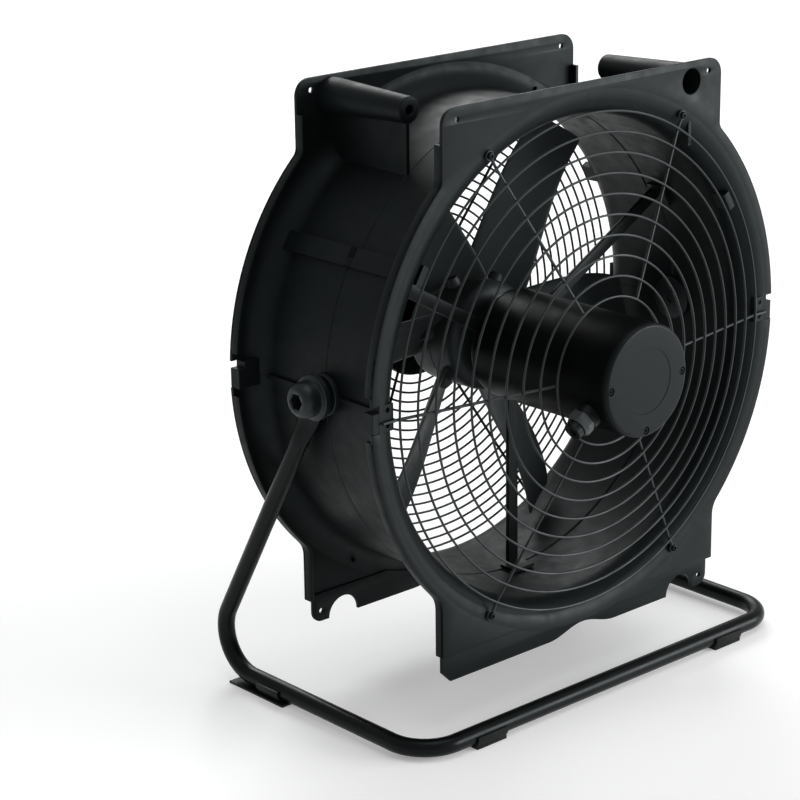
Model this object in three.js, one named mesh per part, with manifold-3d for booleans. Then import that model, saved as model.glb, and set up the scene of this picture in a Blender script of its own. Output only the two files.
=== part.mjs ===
// A stackable drum fan on a bent tube stand, in millimetres, +Z up.
// Everything is built round the drum's axis (Y, mid depth) and then lifted onto the floor.
// The motor side faces -Y, the fine grille and the heels of the stand are at +Y.
import * as THREE from "three";
import { mergeVertices } from "three/addons/utils/BufferGeometryUtils.js";
import Module from "manifold-3d";

const wasm = await Module();
wasm.setup();

const DEG = Math.PI / 180;
const GAP = 0.3; // between pieces that touch
const CLEAN = 0.02; // features smaller than this are dropped
const SAG = 0.5; // how far a facet may cut inside a large curve
const DRUM_STEPS = 42; // facets round the drum
const MOTOR_STEPS = 24; // facets round the motor and what nests in it
const HUB_STEPS = 24; // facets round the hub, the same for every blade

// ---------------------------------------------------------------- driving dimensions

// drum and its two mouldings
const DRUM_BORE = 258; // radius of the air passage
const DRUM_WALL = 4;
const DRUM_OUT = DRUM_BORE + DRUM_WALL;
const HALF_DEPTH = 111; // drum middle to the face of a flange
const BELL_R = 30; // radius of the rounded mouth
const BELL_OUT = DRUM_BORE + BELL_R;
const SEAM_STEP = 10; // how far the seam jogs in depth above the side ledges
const LEDGE_ANGLE = 149; // degrees round the drum from +X
const LEDGE_WIDTH = 21;
const LEDGE_RISE = 5;

// flange outline
const FLANGE_T = 4;
const RIM_R = BELL_OUT + 9;
const RIM_RISE = 4; // the outline's round sides sit this much above the axis
const TAB_HALF = RIM_R - 95; // half width of the top tab
const TAB_TOP = RIM_R;
const TAB_CORNER = 18;
const TAB_FILLET = 12;
const FOOT_HALF = TAB_HALF + 4; // half width of the bottom tab
const FOOT_FILLET = 25;
const FOOT_BOTTOM = RIM_R + 4;
const FOOT_CHAMFER = 12;
const STRIP_HEIGHT = 29; // stepped-back strip along the bottom edge
const STRIP_STEP = 2;
const STRIP_INSET = 7; // the strip is narrower than the tab on its notched side
const RELIEF_HALF = 50; // shallow relief in the middle of the bottom edge
const RELIEF_HEIGHT = 10;
const LIP_T = 4;
const LIP_DEPTH = 12;
const LIP_START = 36; // below the top edge
const FIXING_HOLE_R = 3;
const FIXING_INSET = [20, 13]; // corner holes from the tab's side and top

// handles moulded onto the flanges
const HANDLE_X = TAB_HALF - 47;
const HANDLE_Z = TAB_TOP - 21;
const HANDLE_ROOT_R = 19;
const HANDLE_TIP_R = 12.5;
const HANDLE_BORE_R = 14;
const HANDLE_TIP_BORE_R = 5;
const HANDLE_TIP_WALL = 14;
const HANDLE_REACH = 124; // from the flange's face
const WEB_T = 4;

// side joints between upper and lower mouldings
const JOINT_HEIGHT = 28;
const JOINT_REACH = 28;
const JOINT_DEPTH = 14;
const RIB_RISE = 4;
const RIB_T = 4;

// grilles
const WIRE_R = 1.6;
const GRILLE_FOOT_R = DRUM_BORE + 7; // from here in, a grille rises as a shallow cone
const GRILLE_SLOPE = 0.168;
const FRONT_INNER_R = 78.4;
const FRONT_RINGS = 10;
const REAR_INNER_R = 67;
const REAR_RINGS = 20;
const REAR_WIRE_R = 1.2;
const SPOKES = 6;
const EYELET_R = 5.5;
const EYELET_PLACE = BELL_OUT - 8; // radius of the fixing screws
const SCREW_R = 2.1;
const SCREW_HEAD_R = 4;
const SCREW_HEAD_T = 2.6;
const SCREW_LENGTH = 12;

// motor
const MOTOR_R = 60;
const MOTOR_FRONT = -190;
const MOTOR_REAR = -3;
const MOTOR_WALL = 4;
const CAP_T = 7;
const CAP_STEP_R = 35;
const CAP_SCREW_PLACE = 53;
const CAP_SCREW_ANGLES = [-180, -90, 0];
const CAP_SCREW_R = 4;
const CAP_SCREW_REACH = 18; // into the motor body
const BEARING_R = 16;
const BEARING_T = 10;
const STATOR_BORE = 34;
const STATOR_LENGTH = 80;
const STATOR_MIDDLE = -97;
const AIR_GAP = 0.8;
const SHAFT_R = 7;
const SHAFT_SINK = 5; // the shaft's front end behind the end cap's face

// cable gland on the motor's side
const GLAND_Y = -166;
const GLAND_ANGLE = -150; // degrees round the motor from +X
const GLAND_R = 10;
const GLAND_REACH = MOTOR_R + 29; // end of the gland from the motor's axis
const GLAND_TIP = 8; // from the nut to the gland's end
const GLAND_NUT_R = 14;
const GLAND_NUT_T = 12;
const GLAND_BORE_R = 5;

// motor support
const ARM_ANGLES = [-90, 30, 150];
const ARM_WIDTH = 14;
const SUPPORT_T = 5;
const SUPPORT_BORE = 24;
const SUPPORT_PLATE_R = 58;
const SHOE_LENGTH = 22;
const SHOE_WIDTH = 30;
const SHOE_T = 3.5;

// impeller
const HUB_R = 60;
const HUB_SPLIT = 66; // where its two halves meet
const HUB_HALF = 40;
const HUB_WALL = 5;
const HUB_DOME = 10;
const BOSS_R = 20;
const BLADES = 6;
const BLADE_TIP = DRUM_BORE - 9;
const BLADE_CLEAR = 1.5; // between the hub and a blade's root
const BLADE_PHASE = 52; // root of the first blade, degrees from +X
const BLADE_SWEEP = 4; // how far round from its root a tip lies, degrees
const BLADE_BOW = 18; // extra sweep between root and tip, degrees
const BLADE_ROOT_CHORD = 77;
const BLADE_TIP_CHORD = 62;
const BLADE_ROOT_PITCH = 39;
const BLADE_TIP_PITCH = 20;
const BLADE_ROOT_T = 8;
const BLADE_TIP_T = 3;
const BLADE_CAMBER = 0.06;
const STUB_R = 8;
const STUB_HEAD_R = 11.5;
const STUB_HEAD_T = 4;
const STUB_NECK = 6; // from the head's end to the hub's wall
const STUB_REACH = 9; // into the blade
const NUT_R = 12;
const NUT_T = 9;

// stand
const TUBE_R = 9.5;
const STAND_HALF = DRUM_OUT + 9; // middle of the tube
const AXIS_DROP = FOOT_BOTTOM + 45; // pivot above the middle of the floor tube
const ARM_RAKE = 30; // degrees rearward of straight down
const STAND_FRONT = -149;
const BEND_R = 45;
const FLAT_T = 6; // squashed end at the pivot
const FLAT_HALF = 14;
const FLAT_LENGTH = 26;
const FLARE_LENGTH = 44;
const FOOT_T = 3;
const CLIP_PLACE = STAND_HALF - 88;
const CLIP_LENGTH = 42;
const HEEL_LENGTH = 90;
const HEEL_WIDTH = 26;
const HEEL_PLACE = 103;

// pivots and knobs
const PIVOT_BORE = 5.3;
const STUD_R = 5;
const SPOOL_NECK_R = 12;
const SPOOL_COLLAR_R = 22;
const SPOOL_INNER_R = 24;
const SPOOL_INNER_T = 3;
const KNOB_R = 24;
const KNOB_DISC = 8;
const KNOB_DOME_R = 19;
const KNOB_HEIGHT = 27;
const SOCKET_R = 9;
const SOCKET_DEPTH = 12;

// ---------------------------------------------------------------- places that follow

const DRUM_FLAT = DRUM_BORE * Math.cos(Math.PI / DRUM_STEPS); // middle of a facet
const STRIP_TOP = FOOT_BOTTOM - STRIP_HEIGHT;
const NOTCH_X = HANDLE_X;
const NOTCH_R = HANDLE_ROOT_R + 2;
const LEDGE_Z = DRUM_OUT * Math.sin(LEDGE_ANGLE * DEG);
const SPOKE_BACK = -HALF_DEPTH - GAP; // spokes lie on the flange
const CAP_FACE = MOTOR_FRONT - GAP - CAP_T;
const BEARING_FRONT = CAP_FACE + CAP_T - 2;
const BEARING_REAR = MOTOR_REAR - MOTOR_WALL - BEARING_T;
const SUPPORT_FRONT = MOTOR_REAR + GAP;
const SUPPORT_BACK = SUPPORT_FRONT + SUPPORT_T;
const HUB_FRONT = HUB_SPLIT - HUB_HALF;
const HUB_BACK = HUB_SPLIT + HUB_HALF;
const SHAFT_FRONT = CAP_FACE + SHAFT_SINK;
const SHAFT_BACK = HUB_BACK + NUT_T + 4;
const FLAT_IN = STAND_HALF - FLAT_T / 2;
const FLAT_OUT = STAND_HALF + FLAT_T / 2;
const SEAT_X = FLAT_OUT + GAP; // a knob's face
const COLLAR_X = FLAT_IN - GAP;
const JOINT_IN = RIM_R - JOINT_REACH;
const RUNNER_Z = -AXIS_DROP;
const FLOOR_Z = RUNNER_Z - TUBE_R - FOOT_T;
const HEEL_CORNER = AXIS_DROP * Math.tan(ARM_RAKE * DEG);
const HEEL_TANGENT = BEND_R * Math.tan(((90 + ARM_RAKE) / 2) * DEG);
const HEEL_BACK = HEEL_CORNER - HEEL_TANGENT + BEND_R + TUBE_R;
const MIDDLE_Y = (CAP_FACE + HEEL_BACK) / 2;

// ---------------------------------------------------------------- materials

const plastic = { color: 0x1b1f20, roughness: 0.5, metalness: 0 };
const paint = { color: 0x141617, roughness: 0.35, metalness: 0.2 };
const cast = { color: 0x202425, roughness: 0.45, metalness: 0.3 };
const wire = { color: 0x2c3031, roughness: 0.35, metalness: 0.5 };
const steel = { color: 0x8a8d8f, roughness: 0.35, metalness: 0.9 };
const rubber = { color: 0x101112, roughness: 0.8, metalness: 0 };
const copper = { color: 0x7a4a2c, roughness: 0.5, metalness: 0.6 };

// ---------------------------------------------------------------- solids from geometry

function solidOf(geometry) {
  const loose = geometry.index ? geometry.toNonIndexed() : geometry.clone();
  const bare = new THREE.BufferGeometry();
  bare.setAttribute("position", loose.getAttribute("position"));
  const merged = mergeVertices(bare, 1e-3);
  return new wasm.Manifold(
    new wasm.Mesh({
      numProp: 3,
      vertProperties: merged.attributes.position.array,
      triVerts: new Uint32Array(merged.index.array),
    }),
  );
}

function geometryOf(solid) {
  const mesh = solid.simplify(CLEAN).getMesh();
  const geometry = new THREE.BufferGeometry();
  geometry.setAttribute("position", new THREE.BufferAttribute(mesh.vertProperties, 3));
  geometry.setIndex(new THREE.BufferAttribute(mesh.triVerts, 1));
  const flat = geometry.toNonIndexed();
  flat.computeVertexNormals();
  return flat;
}

const join = (solids) => solids.reduce((all, next) => all.add(next));
const cut = (solid, tools) => tools.reduce((left, tool) => left.subtract(tool), solid);

/** Block between two corners. */
function block(low, high) {
  const size = high.map((v, i) => v - low[i]);
  const box = new THREE.BoxGeometry(...size);
  box.translate(...low.map((v, i) => v + size[i] / 2));
  return solidOf(box);
}

/** Ring or disc round the Y axis, from a closed section of [radius, y]. */
function turned(section, steps = 32) {
  const points = section.map(([r, y]) => new THREE.Vector2(r, y));
  points.push(points[0].clone());
  return solidOf(new THREE.LatheGeometry(points, steps));
}

/** The same round the axis through (x, z). */
const turnedAt = (section, x, z, steps) => turned(section, steps).translate([x, 0, z]);

/** Section of a plain sleeve or, with inner 0, of a rod. */
const sleeve = (inner, outer, from, to) => [
  [inner, from],
  [outer, from],
  [outer, to],
  [inner, to],
];

/** Rod between two points. */
function rod(from, to, radius, sides = 16) {
  const a = new THREE.Vector3(...from);
  const b = new THREE.Vector3(...to);
  const geometry = new THREE.CylinderGeometry(radius, radius, a.distanceTo(b), sides);
  const up = new THREE.Vector3(0, 1, 0);
  const turn = new THREE.Quaternion().setFromUnitVectors(up, b.clone().sub(a).normalize());
  geometry.applyQuaternion(turn);
  geometry.translate(...a.add(b).multiplyScalar(0.5).toArray());
  return solidOf(geometry);
}

/** Points along an arc round (x, z). */
function arc(x, z, radius, from, to) {
  const facet = 2 * Math.acos(1 - SAG / radius);
  const steps = Math.max(2, Math.ceil(Math.abs(to - from) / facet));
  return Array.from({ length: steps + 1 }, (_, i) => {
    const t = from + ((to - from) * i) / steps;
    return new THREE.Vector2(x + radius * Math.cos(t), z + radius * Math.sin(t));
  });
}

/** Plate from an outline in X and Z, from y to y + thickness. */
function plate(outline, y, thickness) {
  const points = outline.filter((p, i) => p.distanceTo(outline[(i + 1) % outline.length]) > 0.01);
  const geometry = new THREE.ExtrudeGeometry(new THREE.Shape(points), {
    depth: thickness,
    bevelEnabled: false,
  });
  geometry.rotateX(Math.PI / 2);
  geometry.translate(0, y + thickness, 0);
  return solidOf(geometry);
}

/** Triangles across a ring, made by pairing its points from both sides of the first one. */
function capTriangles(ring) {
  const found = [];
  for (let j = 0; j < ring.length / 2; j += 1) {
    const far = ring.length - 1 - j;
    if (j + 1 < far) found.push([ring[j], ring[j + 1], ring[far]]);
    if (j > 0) found.push([ring[j], ring[far], ring[far + 1]]);
  }
  return found;
}

/** Solid skin over rings of equally many points, each ring counter-clockwise seen from ahead. */
function loft(rings) {
  const count = rings[0].length;
  const corners = [];
  const triangle = (a, b, c) => corners.push(...a.toArray(), ...b.toArray(), ...c.toArray());
  for (let i = 0; i + 1 < rings.length; i += 1) {
    for (let j = 0; j < count; j += 1) {
      const k = (j + 1) % count;
      triangle(rings[i][j], rings[i][k], rings[i + 1][k]);
      triangle(rings[i][j], rings[i + 1][k], rings[i + 1][j]);
    }
  }
  capTriangles(rings[0]).forEach(([a, b, c]) => triangle(a, c, b));
  capTriangles(rings[rings.length - 1]).forEach(([a, b, c]) => triangle(a, b, c));
  const geometry = new THREE.BufferGeometry();
  geometry.setAttribute("position", new THREE.Float32BufferAttribute(corners, 3));
  return solidOf(geometry);
}

const polar = (radius, degrees, y) => [
  radius * Math.cos(degrees * DEG),
  y,
  radius * Math.sin(degrees * DEG),
];

const turnY = (solid, degrees) => solid.rotate([0, degrees, 0]);
const halfTurn = (solid) => solid.rotate([0, 0, 180]);

// ---------------------------------------------------------------- the assembly

const fan = new THREE.Group();
fan.name = "drum_fan";
const aboutAxis = new THREE.Group();
aboutAxis.position.set(0, -MIDDLE_Y, -FLOOR_Z);
fan.add(aboutAxis);

function put(name, solid, look) {
  const mesh = new THREE.Mesh(geometryOf(solid), new THREE.MeshStandardMaterial(look));
  mesh.name = name;
  aboutAxis.add(mesh);
}

// ---------------------------------------------------------------- drum mouldings

/** Wall of one moulding with its rounded mouth, turned round the drum's axis. */
function drumWall() {
  const steps = 3;
  const inside = [];
  const outside = [];
  for (let i = 0; i <= steps; i += 1) {
    const t = (i / steps) * (Math.PI / 2);
    const middle = BELL_R - HALF_DEPTH;
    inside.push([BELL_OUT - BELL_R * Math.cos(t), middle - BELL_R * Math.sin(t)]);
    const r = BELL_R - DRUM_WALL;
    outside.unshift([BELL_OUT - r * Math.cos(t), middle - r * Math.sin(t)]);
  }
  const section = [[DRUM_BORE, SEAM_STEP], ...inside, ...outside, [DRUM_OUT, SEAM_STEP]];
  return turned(section, DRUM_STEPS);
}

/** Flange outline above its bottom strip, drawn in by an inset. */
function flangeOutline(inset) {
  const rim = RIM_R - inset;
  const side = TAB_HALF - inset;
  const top = TAB_TOP - inset;
  const corner = TAB_CORNER - inset;
  const fillet = TAB_FILLET + inset;
  const foot = FOOT_HALF - inset;
  const footFillet = FOOT_FILLET + inset;
  const topRise = Math.sqrt((rim + fillet) ** 2 - (side + fillet) ** 2);
  const lowDrop = Math.sqrt((rim + footFillet) ** 2 - (foot + footFillet) ** 2);
  const high = Math.atan2(topRise, side + fillet);
  const low = Math.atan2(lowDrop, foot + footFillet);
  const right = [
    ...arc(side - corner, top - corner, corner, Math.PI / 2, 0),
    ...arc(side + fillet, RIM_RISE + topRise, fillet, Math.PI, Math.PI + high),
    ...arc(0, RIM_RISE, rim, high, -low),
    ...arc(foot + footFillet, RIM_RISE - lowDrop, footFillet, Math.PI - low, Math.PI),
    new THREE.Vector2(foot, -STRIP_TOP - inset),
  ];
  const left = right.map((p) => new THREE.Vector2(-p.x, p.y)).reverse();
  return [...right, ...left];
}

/** Stepped-back strip along the bottom edge, with its relief, handle notch and foot. */
function bottomStrip() {
  const outer = FOOT_HALF - STRIP_INSET;
  const round = FOOT_CHAMFER;
  const at = (x, z) => new THREE.Vector2(x, z);
  const relief = Array.from({ length: 9 }, (_, i) => {
    const t = i / 4 - 1;
    const rise = (RELIEF_HEIGHT * (1 + Math.cos(Math.PI * t))) / 2;
    return at(t * RELIEF_HALF, rise - FOOT_BOTTOM);
  });
  const outline = [
    at(-FOOT_HALF, FLANGE_T - STRIP_TOP),
    at(-FOOT_HALF, round - FOOT_BOTTOM),
    at(round - FOOT_HALF, -FOOT_BOTTOM),
    ...relief,
    ...arc(NOTCH_X, -FOOT_BOTTOM, NOTCH_R, Math.PI, 0),
    ...arc(outer - round, round - FOOT_BOTTOM, round, -Math.PI / 2, 0),
    at(outer, FLANGE_T - STRIP_TOP),
  ];
  return plate(outline, STRIP_STEP - HALF_DEPTH, FLANGE_T);
}

/** Lip round the flange's edge, turned back towards the drum. */
function edgeLip() {
  const outer = plate(flangeOutline(0), -HALF_DEPTH, LIP_DEPTH);
  const inner = plate(flangeOutline(LIP_T), -HALF_DEPTH - 1, LIP_DEPTH + 2);
  const wide = 2 * RIM_R;
  const above = block(
    [-wide, -2 * HALF_DEPTH, TAB_TOP - LIP_START],
    [wide, 0, 2 * TAB_TOP],
  );
  return cut(outer, [inner, above]);
}

/** Tapered hollow handle running back from the flange, with the web that carries it. */
function handle() {
  const end = HANDLE_REACH - HALF_DEPTH;
  const back = end - HANDLE_TIP_WALL;
  const body = [
    [0, -HALF_DEPTH],
    [HANDLE_ROOT_R, -HALF_DEPTH],
    [HANDLE_TIP_R + 1.5, end - 3],
    [HANDLE_TIP_R, end],
    [0, end],
  ];
  const bore = [
    [0, -HALF_DEPTH - 1],
    [HANDLE_BORE_R, -HALF_DEPTH - 1],
    [HANDLE_TIP_R - 3, back],
    [HANDLE_TIP_BORE_R, back],
    [HANDLE_TIP_BORE_R, end + 1],
    [0, end + 1],
  ];
  const floor = Math.sqrt(DRUM_OUT ** 2 - (HANDLE_X + WEB_T / 2) ** 2) - DRUM_WALL / 2;
  const web = block(
    [HANDLE_X - WEB_T / 2, -HALF_DEPTH + 1, floor],
    [HANDLE_X + WEB_T / 2, SEAM_STEP - GAP, HANDLE_Z],
  );
  const solid = turnedAt(body, HANDLE_X, HANDLE_Z, 16).add(web);
  return cut(solid, [turnedAt(bore, HANDLE_X, HANDLE_Z, 16)]);
}

/** Ledge along the drum, tied into its wall. */
function ledge(angle) {
  const low = [DRUM_BORE + 1, -HALF_DEPTH + 4, -LEDGE_WIDTH / 2];
  const high = [DRUM_OUT + LEDGE_RISE, SEAM_STEP, LEDGE_WIDTH / 2];
  return turnY(block(low, high), -angle);
}

/** Low rib on each side of the parting line between upper and lower halves. */
function partingRib(side) {
  const reach = SPOOL_COLLAR_R + 4;
  const low = [DRUM_BORE + 1, BELL_R - HALF_DEPTH - 8, -RIB_T / 2];
  const high = [DRUM_OUT + RIB_RISE, -reach, RIB_T / 2];
  const rib = block(low, high);
  return side > 0 ? rib : rib.mirror([1, 0, 0]);
}

/** Everything that is cut away at the two side joints. */
function jointNotch(side) {
  const half = JOINT_HEIGHT / 2 + GAP;
  const low = [JOINT_IN - GAP, -HALF_DEPTH - 1, RIM_RISE - half];
  const high = [RIM_R + 5, JOINT_DEPTH + GAP - HALF_DEPTH, RIM_RISE + half];
  const notch = block(low, high);
  return side > 0 ? notch : notch.mirror([1, 0, 0]);
}

/** Where the moulding at +Y takes over: the seam, with its jog above the ledges. */
function seamTools() {
  const far = 2 * RIM_R;
  const g = GAP / 2;
  return [
    block([-far, -g, -far], [far, far, LEDGE_Z + g]),
    block([-far, -SEAM_STEP - g, LEDGE_Z - g], [g, far, far]),
    block([-far, SEAM_STEP - g, -far], [far, far, far]),
  ];
}

function fixingHole(x, z, radius) {
  return rod([x, -HALF_DEPTH - 1, z], [x, LIP_DEPTH + 1 - HALF_DEPTH, z], radius, 10);
}

/** One whole moulding: flange, mouth, drum half, handle and ledges, facing -Y. */
function moulding() {
  const face = cut(plate(flangeOutline(0), -HALF_DEPTH, FLANGE_T), [
    rod([0, -HALF_DEPTH - 1, 0], [0, 0, 0], BELL_OUT - 1, DRUM_STEPS),
  ]);
  const solid = join([
    drumWall(),
    face,
    edgeLip(),
    bottomStrip(),
    ledge(LEDGE_ANGLE),
    ledge(180 - LEDGE_ANGLE),
    partingRib(1),
    partingRib(-1),
  ]);
  const [holeIn, holeDown] = FIXING_INSET;
  const holes = [-1, 1].map((side) =>
    fixingHole(side * (TAB_HALF - holeIn), TAB_TOP - holeDown, FIXING_HOLE_R),
  );
  const footHole = fixingHole(
    FOOT_HALF - STRIP_INSET - FOOT_CHAMFER,
    FOOT_CHAMFER - FOOT_BOTTOM,
    FIXING_HOLE_R,
  );
  const screwHoles = flatSpokes().map((angle) => {
    const [x, , z] = polar(EYELET_PLACE, angle, 0);
    return fixingHole(x, z, SCREW_R + GAP);
  });
  const handleRoom = rod(
    [HANDLE_X, -HALF_DEPTH - 1, HANDLE_Z],
    [HANDLE_X, FLANGE_T - HALF_DEPTH, HANDLE_Z],
    HANDLE_BORE_R + 0.5,
    16,
  );
  const neck = SPOOL_NECK_R + GAP;
  const pivotHoles = rod([-DRUM_OUT - 9, 0, 0], [DRUM_OUT + 9, 0, 0], neck, 20);
  const body = cut(solid, [handleRoom, ...seamTools()]).add(handle());
  return cut(body, [
    ...holes,
    footHole,
    ...screwHoles,
    pivotHoles,
    jointNotch(1),
    jointNotch(-1),
  ]);
}

/** Spoke angles whose ends lie on the flat of a flange, not on a side joint. */
function flatSpokes() {
  const all = Array.from({ length: SPOKES }, (_, i) => (i * 360) / SPOKES);
  return all.filter((angle) => angle % 180 !== 0);
}

function addHousing() {
  const far = 2 * RIM_R;
  const whole = moulding();
  const upper = cut(whole, [block([-far, -far, -far], [far, far, GAP / 2])]);
  const lower = cut(whole, [block([-far, -far, -GAP / 2], [far, far, far])]);
  put("housing_front_upper", upper, plastic);
  put("housing_front_lower", lower, plastic);
  put("housing_rear_upper", halfTurn(upper), plastic);
  put("housing_rear_lower", halfTurn(lower), plastic);
}

/** Block that clamps the upper and lower mouldings together at a side notch. */
function sideJoint() {
  const half = JOINT_HEIGHT / 2;
  const z = RIM_RISE;
  const y = GAP - HALF_DEPTH;
  const body = block([JOINT_IN, y, z - half], [RIM_R - 1, y + JOINT_DEPTH - GAP, z + half]);
  const cornerCut = block([RIM_R - 9, y - 1, z + half - 7], [RIM_R, 0, z + half + 1]);
  const eyes = [-1, 1].map((side) =>
    rod([JOINT_IN + 8, y - 1, z + side * 8], [JOINT_IN + 8, 0, z + side * 8], 2.5, 8),
  );
  return cut(body, [cornerCut, ...eyes]);
}

function addSideJoints() {
  const right = sideJoint();
  const left = right.mirror([1, 0, 0]);
  put("side_joint_front_right", right, plastic);
  put("side_joint_front_left", left, plastic);
  put("side_joint_rear_left", halfTurn(right), plastic);
  put("side_joint_rear_right", halfTurn(left), plastic);
}

// ---------------------------------------------------------------- grilles

function wireRing(radius, y, wireR, steps) {
  const ring = new THREE.TorusGeometry(radius, wireR, 3, steps);
  ring.rotateZ(Math.PI / steps);
  ring.rotateX(Math.PI / 2);
  ring.translate(0, y, 0);
  return solidOf(ring);
}

/** Back of a grille's spokes at a radius: flat on the flange, then rising as a cone. */
const spokeBack = (r) => SPOKE_BACK - GRILLE_SLOPE * Math.max(0, GRILLE_FOOT_R - r);

/** Bar between two radii, following the grille's cone. */
function spokeBar(start, end) {
  const half = 0.8 * WIRE_R;
  const across = (r) => {
    const back = spokeBack(r);
    const face = back - 2 * WIRE_R;
    return [
      new THREE.Vector3(r, face, -half),
      new THREE.Vector3(r, back, -half),
      new THREE.Vector3(r, back, half),
      new THREE.Vector3(r, face, half),
    ];
  };
  return loft([start, GRILLE_FOOT_R, end].map(across));
}

/** Welded guard in front of the drum: rings on six spokes with eyelets. */
function grille({ inner, count, wireR, steps }) {
  const start = (inner - wireR) * Math.cos(Math.PI / steps);
  const pitch = (GRILLE_FOOT_R - inner) / (count - 1);
  const rings = Array.from({ length: count }, (_, i) => {
    const r = inner + i * pitch;
    return wireRing(r, spokeBack(r) - 2 * WIRE_R - 0.4 * wireR, wireR, steps);
  });
  const spokes = Array.from({ length: SPOKES }, (_, i) => {
    const angle = (i * 360) / SPOKES;
    const flat = flatSpokes().includes(angle);
    const end = flat ? EYELET_PLACE - SCREW_HEAD_R - GAP : RIM_R - 12;
    return turnY(spokeBar(start, end), -angle);
  });
  const eyelets = flatSpokes().map((angle) => {
    const [x, , z] = polar(EYELET_PLACE, angle, 0);
    const washer = sleeve(SCREW_R + GAP, EYELET_R, SPOKE_BACK - WIRE_R, SPOKE_BACK);
    return turnedAt(washer, x, z, 10);
  });
  return join([...spokes, ...eyelets, ...rings]);
}

function addGrilles() {
  const front = grille({
    inner: FRONT_INNER_R,
    count: FRONT_RINGS,
    wireR: WIRE_R,
    steps: 30,
  });
  const rear = grille({
    inner: REAR_INNER_R,
    count: REAR_RINGS,
    wireR: REAR_WIRE_R,
    steps: 18,
  });
  const back = spokeBack(REAR_INNER_R);
  const centre = turned(sleeve(0, REAR_INNER_R, back - 2 * WIRE_R, back), 18);
  put("front_grille", front, wire);
  put("rear_grille", halfTurn(rear.add(centre)), wire);
}

/** Pan-head screw through an eyelet into the flange. */
function grilleScrew(angle) {
  const seat = SPOKE_BACK - WIRE_R - GAP;
  const [x, , z] = polar(EYELET_PLACE, angle, 0);
  const section = [
    [0, seat - SCREW_HEAD_T],
    [SCREW_HEAD_R - 1, seat - SCREW_HEAD_T],
    [SCREW_HEAD_R, seat],
    [SCREW_R, seat],
    [SCREW_R, seat + SCREW_LENGTH],
    [0, seat + SCREW_LENGTH],
  ];
  return turnedAt(section, x, z, 8);
}

function addGrilleScrews() {
  flatSpokes().forEach((angle, i) => {
    const screw = grilleScrew(angle);
    put(`front_grille_screw_${i + 1}`, screw, steel);
    put(`rear_grille_screw_${i + 1}`, halfTurn(screw), steel);
  });
}

// ---------------------------------------------------------------- motor

function capScrewPlaces() {
  return CAP_SCREW_ANGLES.map((angle) => polar(CAP_SCREW_PLACE, angle, 0));
}

function motorBody() {
  const inner = MOTOR_R - MOTOR_WALL;
  const seat = BEARING_R + GAP;
  const floor = MOTOR_REAR - MOTOR_WALL;
  const section = [
    [inner, MOTOR_FRONT],
    [MOTOR_R, MOTOR_FRONT],
    [MOTOR_R, MOTOR_REAR - 4],
    [MOTOR_R - 4, MOTOR_REAR],
    [SHAFT_R + 2, MOTOR_REAR],
    [SHAFT_R + 2, floor + GAP],
    [seat, floor + GAP],
    [seat, floor - BEARING_T],
    [seat + 5, floor - BEARING_T],
    [seat + 5, floor],
    [inner, floor],
  ];
  const bosses = CAP_SCREW_ANGLES.map((angle) => {
    const from = polar(CAP_SCREW_PLACE, angle, MOTOR_FRONT);
    const to = polar(CAP_SCREW_PLACE, angle, MOTOR_FRONT + CAP_SCREW_REACH + 6);
    return rod(from, to, 6, 10);
  });
  const holes = CAP_SCREW_ANGLES.map((angle) =>
    rod(
      polar(CAP_SCREW_PLACE, angle, MOTOR_FRONT - 1),
      polar(CAP_SCREW_PLACE, angle, MOTOR_FRONT + CAP_SCREW_REACH + 2),
      SCREW_R + GAP,
      8,
    ),
  );
  const cableHole = rod(...glandLine(0, GLAND_REACH), GLAND_BORE_R, 12);
  return cut(join([turned(section, MOTOR_STEPS), ...bosses]), [...holes, cableHole]);
}

/** Two points along the gland's own line, measured from the motor's axis. */
const glandLine = (from, to) => [from, to].map((s) => polar(s, GLAND_ANGLE, GLAND_Y));

function endCap() {
  const seat = BEARING_R + GAP;
  const face = CAP_FACE;
  const back = CAP_FACE + CAP_T;
  const section = [
    [0, face + 1],
    [CAP_STEP_R - 1, face + 1],
    [CAP_STEP_R, face],
    [MOTOR_R - 3, face],
    [MOTOR_R, face + 3],
    [MOTOR_R, back],
    [seat + 4, back],
    [seat + 4, back + BEARING_T - 2],
    [seat, back + BEARING_T - 2],
    [seat, back - 2 - GAP],
    [0, back - 2 - GAP],
  ];
  const recesses = capScrewPlaces().map(([x, , z]) =>
    rod([x, face - 1, z], [x, face + 4, z], CAP_SCREW_R + GAP, 10),
  );
  const holes = capScrewPlaces().map(([x, , z]) =>
    rod([x, face, z], [x, back + 1, z], SCREW_R + GAP, 8),
  );
  return cut(turned(section, MOTOR_STEPS), [...recesses, ...holes]);
}

function capScrew([x, , z]) {
  const seat = CAP_FACE + 4 - GAP;
  const section = [
    [0, seat - 3],
    [CAP_SCREW_R, seat - 3],
    [CAP_SCREW_R, seat],
    [SCREW_R, seat],
    [SCREW_R, MOTOR_FRONT + CAP_SCREW_REACH],
    [0, MOTOR_FRONT + CAP_SCREW_REACH],
  ];
  return turnedAt(section, x, z, 8);
}

function bearing(from) {
  return turned(sleeve(SHAFT_R + GAP, BEARING_R, from, from + BEARING_T), MOTOR_STEPS);
}

function addMotor() {
  put("motor_body", motorBody(), cast);
  put("motor_end_cap", endCap(), cast);
  capScrewPlaces().forEach((place, i) => put(`motor_cap_screw_${i + 1}`, capScrew(place), steel));
  const from = STATOR_MIDDLE - STATOR_LENGTH / 2;
  const outer = MOTOR_R - MOTOR_WALL - GAP;
  const to = from + STATOR_LENGTH;
  put("stator", turned(sleeve(STATOR_BORE, outer, from, to), MOTOR_STEPS), copper);
  put("bearing_front", bearing(BEARING_FRONT), steel);
  put("bearing_rear", bearing(BEARING_REAR), steel);
}

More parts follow.
